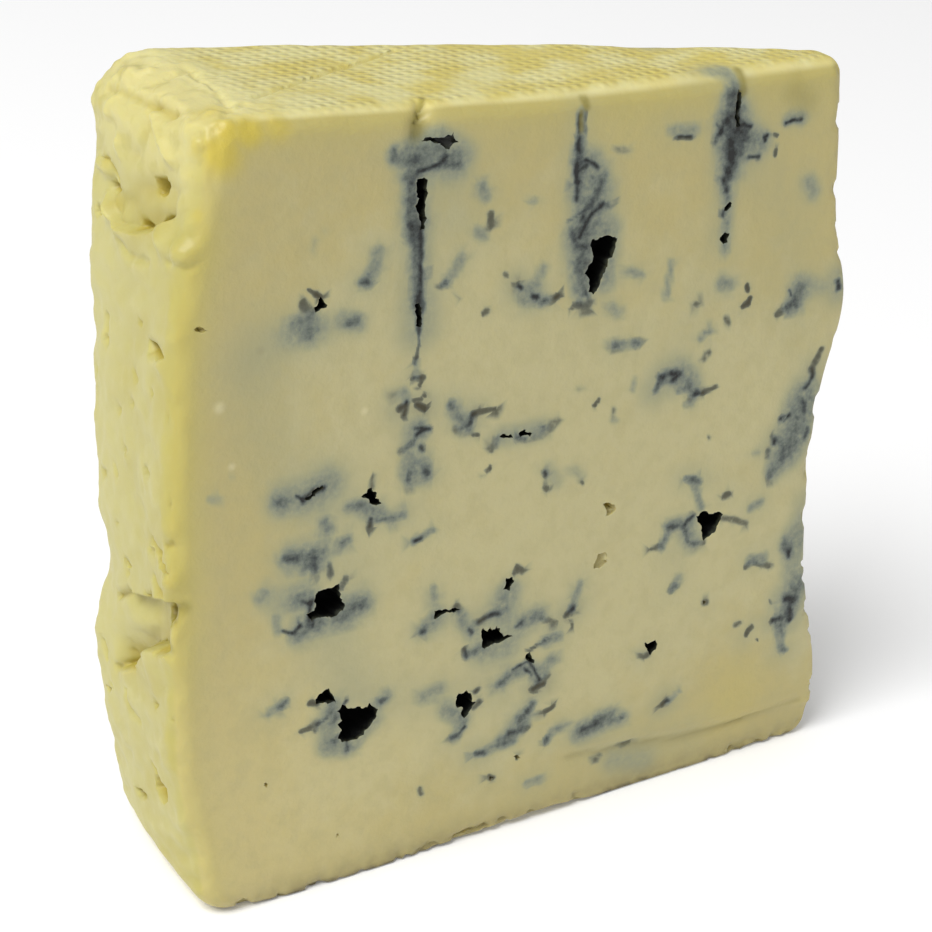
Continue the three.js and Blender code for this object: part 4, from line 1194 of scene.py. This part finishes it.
KNIFE_GROOVE_SHADE = 1.3  # strength of the painted shade, olive, in the groove along the step, for its depth
HAZE_WIDTH = 0.85  # veins at least this wide are blue; a thin one by itself is olive
BASE_SHADE_LINES = ((1, 0.5), (0.34, 2.6))  # strength and reach up the cut of the painted shade along the base
BASE_SHADE_IN = 1.8  # and its reach under the base
BASE_PALER = 4  # the base's skin is as pale as paste this far under the rind
BAND_AND_HIGHLIGHT_WIDER, WIDER_ALONG = 0.5, (35, 60)  # the skin and the yellow band under it widen by this share to the tip; there the pale skin reaching further down the top's front edge is painted highlight
CLOTH_FROM_RIND, CLOTH_FROM_CUT, CLOTH_OFF_CREASE = (5, 14), (0.8, 3), (0.05, 0.2)  # where its weave shows
FOLD_SHADE, LUMP_SHADE_FROM = 0.3, 0.04  # folds and sunk lumps get painted shade in the colour of the rind's hollows
p = points_of(wedge.data) / MM - cut_origin
skin_place = settle(p, passes=3)  # where each point was before the relief
along, deep, up = skin_place.T
# the skin's reach widens towards the tip, partly as painted highlight on the top's front edge
under_rind = np.maximum(-skin_distance(along, deep, up), 0) / (1 + BAND_AND_HIGHLIGHT_WIDER * ramp(along, *WIDER_ALONG))
under_rind = np.minimum(under_rind, np.maximum(up, 0) + BASE_PALER)
woven = on_skin(skin_place) * top_share(skin_place) * ramp(along - rind_along(deep, up), *CLOTH_FROM_RIND)
inward = np.minimum(deep, back_depth(along, up) - deep)
woven *= ramp(inward, *CLOTH_FROM_CUT) * (1 - ramp(skin_hollows(skin_place), *CLOTH_OFF_CREASE))
# painted shade in the groove along the knife step
knife_groove_shade = KNIFE_GROOVE_SHADE * along_paths(skin_place, KNIFE_LINE)
# painted shade along the base's edge, on the cuts and a little under the base
base_shade = np.max([strength * np.exp(-((p[:, 2] / reach) ** 2)) for strength, reach in BASE_SHADE_LINES], axis=0)
base_shade *= np.exp(-((np.maximum(inward, 0) / BASE_SHADE_IN) ** 2)) * (1 - on_rind(skin_place))
lumpy = rind_lumps(skin_place)
# painted shade in the rind's folds and where its lumps sink
sunk_shade = FOLD_SHADE * np.maximum(-fold_relief(deep, up), 0) + np.maximum(-lumpy - LUMP_SHADE_FROM, 0)
linings = np.empty(len(wedge.data.polygons), dtype=np.int32)
wedge.data.polygons.foreach_get("material_index", linings)
for name, domain, values in (
    ("mould", "POINT", mould_tone(p)),
    ("haze", "POINT", mould_tone(p, HAZE_WIDTH)),
    ("under_rind", "POINT", under_rind),
    # pits and creases, and painted shade in the folds and sunk lumps
    ("hollow", "POINT", skin_hollows(skin_place) + on_rind(skin_place) * sunk_shade),
    ("raised", "POINT", np.maximum(lumpy, 0)),
    ("stain", "POINT", along_paths(skin_place, STAINS)),
    ("top_share", "POINT", top_share(skin_place)),
    ("weave", "POINT", woven),
    ("cream", "POINT", along_paths(skin_place, CREAM)),
    ("warm", "POINT", along_paths(skin_place, WARM)),
    ("olive", "POINT", np.maximum(along_paths(skin_place, OLIVE_MARKS_AND_SHADE), knife_groove_shade)),
    ("base_shade", "POINT", base_shade),
    ("inside", "POINT", -wedge_distance(p)),
    ("eye", "FACE", linings == MOULDY),
    ("pit", "FACE", linings == BARE),
):
    wedge.data.attributes.new(name, "FLOAT", domain).data.foreach_set("value", values.astype(np.float32))
wedge.data.polygons.foreach_set("material_index", np.zeros_like(linings))
wedge.data.materials.clear()

cheese = bpy.data.materials.new("blue_cheese")
cheese.use_nodes = True
tree = cheese.node_tree
tree.nodes.clear()


def add(kind, inputs, **settings):
    """A node with these settings, whose named inputs take a value or another node's output."""
    made = tree.nodes.new(kind)
    for name, value in settings.items():
        setattr(made, name, value)
    for name, value in inputs.items():
        if isinstance(value, bpy.types.NodeSocket):
            tree.links.new(value, made.inputs[name])
        else:
            made.inputs[name].default_value = value
    return made


def mask(name):
    return add("ShaderNodeAttribute", {}, attribute_name=name).outputs["Fac"]


def rise(value, start, end, low=0, high=1):
    """From low to high, softly, while the value runs from start to end."""
    names = ("Value", "From Min", "From Max", "To Min", "To Max")
    inputs = dict(zip(names, (value, start, end, low, high)))
    return add("ShaderNodeMapRange", inputs, interpolation_type="SMOOTHSTEP").outputs["Result"]


def between(axis, places, low=0, high=1):
    """The same between two places on an axis of the frame, in millimetres."""
    return rise(axis, places[0] * MM, places[1] * MM, low, high)


def blend(share, first, second):
    """Mixes two colours; the Mix node's colour sockets are its seventh and eighth inputs."""
    return add("ShaderNodeMix", {0: share, 6: first, 7: second}, data_type="RGBA").outputs[2]


def plus(first, second, operation="ADD"):
    return add("ShaderNodeMath", {0: first, 1: second}, operation=operation).outputs[0]


def times(first, second):
    return plus(first, second, "MULTIPLY")


def larger(first, second):
    return plus(first, second, "MAXIMUM")


place = add("ShaderNodeTexCoord", {}).outputs["Object"]
lump_turn = math.atan2(-LUMP_RUN[2], -LUMP_RUN[1])
drawn_out = {"Vector": place, "Rotation": (lump_turn, 0, 0), "Scale": (1, LUMP_STRETCH, 1)}
drawn_out = add("ShaderNodeMapping", drawn_out, vector_type="TEXTURE").outputs["Vector"]


def grain(size, detail=2, roughness=0.5, at=place):
    """Noise with grains of about this size in millimetres, drawn out like the rind's lumps where asked."""
    inputs = {"Vector": at, "Scale": 1 / (size * MM), "Detail": detail, "Roughness": roughness}
    return add("ShaderNodeTexNoise", inputs).outputs["Fac"]


def srgb(red, green, blue):
    """A colour as it is seen, from 0 to 255, turned into the values that a shader takes."""
    parts = [c / 255 for c in (red, green, blue)]
    return tuple(c / 12.92 if c <= 0.04045 else ((c + 0.055) / 1.055) ** 2.4 for c in parts) + (1,)


# The paste is pale in the middle and warmer and then yellow towards the skin
PASTE_PALE, PASTE_WARM, PASTE_YELLOW = srgb(185, 177, 131), srgb(180, 168, 113), srgb(187, 176, 96)
PASTE_CREAM, PASTE_DULL, EDGE_YELLOW = srgb(203, 189, 130), srgb(168, 160, 114), srgb(178, 166, 86)
CURD_PALE, CURD_DARK = srgb(214, 206, 160), srgb(132, 124, 78)
CURDS = (  # single curds that show on the front cut: along, up, reach, share and colour
    (4.8, 70.2, 1.2, 0.8, CURD_PALE),
    (6.4, 62.3, 0.8, 0.6, CURD_PALE),
    (24.3, 65.9, 0.8, 0.7, CURD_PALE),
    (10.2, 76.3, 0.9, 0.5, CURD_DARK),
    (27.9, 67.3, 0.6, 0.5, CURD_DARK),
)
WARM_UNDER = (26, 3)  # depths under the skin
YELLOW_BANDS = (((7, 2), 0.5, PASTE_YELLOW), ((4, 0.8), 0.85, EDGE_YELLOW))  # depths, share and colour
LOW_RIND, HIGH_RIND, LESS_YELLOW = (25, 50), (88, 98), 0.4  # the bands are weaker at the base and the rim
skin_depth = mask("under_rind")
x, y, z = add("ShaderNodeSeparateXYZ", {"Vector": place}).outputs
mottle = plus(plus(grain(22), times(grain(4.5, 3), 1.4)), -1.2)
warmth = plus(plus(rise(skin_depth, *WARM_UNDER), mask("warm")), mottle)
colour = blend(rise(warmth, 0, 1), PASTE_PALE, PASTE_WARM)
colour = blend(mask("cream"), colour, PASTE_CREAM)
for at, height, reach, share, curd in CURDS:
    centre = (cut_origin + (at, 0, height)) * MM
    away = add("ShaderNodeVectorMath", {0: place, 1: centre}, operation="DISTANCE").outputs["Value"]
    colour = blend(rise(away, reach * MM, 0, 0, share), colour, curd)
colour = blend(rise(grain(2.2, 4, 0.6), 0.4, 0.7, 0, 0.3), colour, PASTE_DULL)
by_height = times(between(z, LOW_RIND, LESS_YELLOW, 1), between(z, HIGH_RIND, 1, LESS_YELLOW))
for depths, share, yellow in YELLOW_BANDS:
    colour = blend(times(rise(skin_depth, *depths, 0, share), by_height), colour, yellow)

# The rind is mottled and paler towards the back. It is paler on its lumps and round the rim, partly painted
# highlight, and deep yellow and darker in its hollows, partly painted shade, with painted shade in its folds
# and sunk lumps
RIND, RIND_PALE, RIND_DEEP = srgb(180, 172, 104), srgb(189, 182, 117), srgb(176, 166, 90)
RIND_RIM_LIT, SHOULDER_LIT, RIND_HOLLOW = srgb(202, 193, 128), srgb(201, 192, 130), srgb(172, 154, 56)
TOP_PALE, TOP_DEEP, TOP_RIM_LIT = srgb(205, 198, 138), srgb(196, 182, 100), srgb(219, 210, 146)
TOP_EDGE_HIGHLIGHT, GOLD = srgb(222, 214, 164), srgb(193, 175, 70)
RIND_TO_BACK, RIND_TO_RIM, RIM_SPOTS_UP = (-4, 12), (90, 100), (84, 97)
TOP_RUN, TOP_TO_RIND, TOP_TO_CUT = (-40, 30), (-34, -44), (-14.5, -16.5)
SHOULDER_RUN, EDGE_RUN, EDGE_TO_CUT = (-40.5, -43), (-40, -46), (-13, -16)
SKIN_UNDER = (0.9, 0.3)
rind_colour = blend(rise(grain(7, 4, at=drawn_out), 0.35, 0.7), RIND, RIND_DEEP)
spotty = rise(grain(2.2, 3, at=drawn_out), 0.5, 0.72, 0.3, 0.7)
# painted highlight: the rind's raised lumps are paler in spots; it is also paler towards the back
paler_and_highlit = larger(times(rise(mask("raised"), 0, 0.25), spotty), between(y, RIND_TO_BACK, 0, 0.7))
rind_colour = blend(paler_and_highlit, rind_colour, RIND_PALE)
# the rind is paler towards its rim, partly painted light
rind_colour = blend(between(z, RIND_TO_RIM, 0, 0.8), rind_colour, RIND_RIM_LIT)
at_rim = times(between(z, RIM_SPOTS_UP), between(x, TOP_TO_RIND))
rim_spots = times(at_rim, rise(grain(3.4, 3), 0.5, 0.66, 0, 0.5))
deeper = plus(grain(6, 4), between(x, TOP_RUN, -0.04, 0.08))
top_colour = blend(rise(deeper, 0.38, 0.66), TOP_PALE, TOP_DEEP)
# the top is paler next to the rind, partly painted light
top_colour = blend(between(x, TOP_TO_RIND, 0, 0.9), top_colour, TOP_RIM_LIT)
# painted highlight along the top's front edge
top_colour = blend(between(y, TOP_TO_CUT, 0, 0.5), top_colour, TOP_EDGE_HIGHLIGHT)
on_top = mask("top_share")
rind_colour = blend(on_top, rind_colour, top_colour)
# the shoulder between top and rind is paler, partly painted light
lit_shoulder = times(rise(on_top, 0, 0.4), between(x, SHOULDER_RUN))
rind_colour = blend(lit_shoulder, rind_colour, SHOULDER_LIT)
front_edge = times(between(x, EDGE_RUN), between(y, EDGE_TO_CUT, 0, 0.6))
front_edge = times(front_edge, between(z, LOW_RIND))
rind_colour = blend(larger(rim_spots, front_edge), rind_colour, RIND_DEEP)
# deep yellow and darker in the pits and creases, partly painted shade, and painted shade in the folds and
# sunk lumps
rind_colour = blend(rise(mask("hollow"), 0.15, 1.1, 0, 0.8), rind_colour, RIND_HOLLOW)
colour = blend(rise(skin_depth, *SKIN_UNDER), colour, rind_colour)
colour = blend(rise(mask("stain"), 0.1, 0.9, 0, 0.9), colour, GOLD)

# The mould is pale blue-grey at a vein's edge and nearly black in its middle, and its tone is grainy
MOULD_TONES = (  # tone and colour, from the halo to the dark middle of a vein
    (0, srgb(170, 165, 122)),
    (0.25, srgb(150, 152, 123)),
    (0.5, srgb(114, 121, 109)),
    (0.75, srgb(70, 77, 74)),
    (0.95, srgb(22, 24, 22)),
)
SPECK, OLIVE, BASE_SHADE_COLOUR = srgb(72, 66, 38), srgb(128, 118, 46), srgb(76, 68, 44)
EYE_RIM, EYE_DEEP_SHADE = srgb(54, 57, 45), srgb(6, 7, 6)
mould = mask("mould")
ragged = times(plus(grain(1, 5, 0.6), -0.5), 0.8)
tone = plus(mould, times(ragged, rise(mould, 0.16, 0.5)))
tones = add("ShaderNodeValToRGB", {"Fac": tone})
while len(tones.color_ramp.elements) < len(MOULD_TONES):
    tones.color_ramp.elements.new(0.5)
for element, (position, shade) in zip(tones.color_ramp.elements, MOULD_TONES):
    element.position, element.color = position, shade
alone = times(rise(tone, 0.12, 0.45, 0, 0.75), rise(mask("haze"), 0.3, 0.08))
vein_colour = blend(alone, tones.outputs["Color"], SPECK)
colour = blend(rise(tone, 0.02, 0.32), colour, vein_colour)
# olive marks at the needles' mouths and specks on the front cut, with painted shade in the broken hollow and
# in the knife step's groove
colour = blend(rise(mask("olive"), 0.1, 1, 0, 0.75), colour, OLIVE)
# painted shade along the base, made ragged by noise
colour = blend(times(mask("base_shade"), rise(grain(2.4, 3), 0.35, 0.65, 0.7, 1.2)), colour, BASE_SHADE_COLOUR)
inside = mask("inside")
colour = blend(times(mask("pit"), rise(inside, 0.1, 1.6, 0.1, 0.7)), colour, RIND_HOLLOW)
# the eye walls: dark mould at their rims, darkening deeper in as painted shade
wall = blend(rise(plus(inside, times(grain(0.9), 1.6)), 0.7, 1.8), EYE_RIM, EYE_DEEP_SHADE)
colour = blend(mask("eye"), colour, wall)

# The weave of the pressing cloth and a fine grain are too low to model, so they are bumps
WEAVE_PERIOD, WEAVE_TURN = 1.62 * MM, math.radians(15)
WAVE_TURN = 2 * math.pi / 20  # Blender's wave texture repeats after this, over its scale
turned = add("ShaderNodeMapping", {"Vector": place, "Rotation": (0, 0, -WEAVE_TURN)}).outputs["Vector"]
cloth = {"Vector": turned, "Scale": WAVE_TURN / WEAVE_PERIOD, "Distortion": 1.2, "Detail Scale": 0.7}
threads = [add("ShaderNodeTexWave", cloth, bands_direction=way).outputs["Fac"] for way in ("X", "Y")]
weave = times(times(threads[0], threads[1]), rise(grain(7), 0.35, 0.6, 0.4, 1.2))
weave = times(weave, mask("weave"))
fine = times(grain(0.9, 3, at=drawn_out), rise(skin_depth, 0.3, 1, 0.25, 0.4))
bumps = add("ShaderNodeBump", {"Height": plus(fine, weave), "Strength": 0.7, "Distance": 0.35 * MM})

surface = add("ShaderNodeBsdfPrincipled", {
    "Base Color": colour,
    "Roughness": rise(tone, 0.2, 0.8, 0.46, 0.62),
    "Normal": bumps.outputs["Normal"],
    "Subsurface Weight": 0.35,
    "Subsurface Radius": (1, 0.8, 0.4),
    "Subsurface Scale": 2.5 * MM,
    "Specular IOR Level": 0.45,
})
add("ShaderNodeOutputMaterial", {"Surface": surface.outputs["BSDF"]})
wedge.data.materials.append(cheese)
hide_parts("cheese_wedge")
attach(wedge, "root")


# The stage: a plain pale floor, soft light from a large lamp high at the left, and a camera where the
# photograph was taken from.
FLOOR_SIZE, FLOOR_GAP = 6, 0.2 * MM
bpy.ops.object.select_all(action="DESELECT")
bpy.ops.mesh.primitive_plane_add(size=FLOOR_SIZE, location=(0, 0, -FLOOR_GAP))
floor = bpy.context.object
floor.name = "floor"
floor_finish = bpy.data.materials.new("pale_floor")
floor_finish.use_nodes = True
paint = floor_finish.node_tree.nodes["Principled BSDF"].inputs
paint["Base Color"].default_value = (0.9, 0.9, 0.9, 1)
paint["Roughness"].default_value = 0.7
paint["Emission Color"].default_value = (1, 1, 1, 1)
paint["Emission Strength"].default_value = 0.1
floor.data.materials.append(floor_finish)

LAMPS = (  # name, place, size, power
    ("key", (-1.2, -0.44, 1.78), 1.2, 47),
    ("fill", (1, -1.8, 1), 1.8, 3),
)
LAMP_AIM = Vector((0, 0, 0.05))
for name, at, size, power in LAMPS:
    bpy.ops.object.light_add(type="AREA", location=at)
    lamp = bpy.context.object
    lamp.name = name
    lamp.rotation_euler = (LAMP_AIM - Vector(at)).to_track_quat("-Z", "Y").to_euler()
    lamp.data.size, lamp.data.energy = size, power
world = bpy.data.worlds.new("pale_room")
world.use_nodes = True
world.node_tree.nodes["Background"].inputs["Color"].default_value = (1, 1, 1, 1)
world.node_tree.nodes["Background"].inputs["Strength"].default_value = 0.38
bpy.context.scene.world = world
bpy.context.scene.view_settings.view_transform = "Standard"

CAMERA_PLACE = (-170.5, -261.4, 187.1)
CAMERA_TURN, CAMERA_PITCH, CAMERA_ROLL = math.radians(33.15), math.radians(24.28), math.radians(2.03)
CAMERA_LENS = 99.04
forward = Vector((
    math.sin(CAMERA_TURN) * math.cos(CAMERA_PITCH),
    math.cos(CAMERA_TURN) * math.cos(CAMERA_PITCH),
    -math.sin(CAMERA_PITCH),
))
bpy.ops.object.camera_add(location=Vector(CAMERA_PLACE) * MM)
camera = bpy.context.object
camera.rotation_mode = "QUATERNION"
roll = Matrix.Rotation(CAMERA_ROLL, 3, "Z").to_quaternion()
camera.rotation_quaternion = forward.to_track_quat("-Z", "Y") @ roll
camera.data.lens = CAMERA_LENS
camera.data.clip_start = 0.01
bpy.context.scene.camera = camera
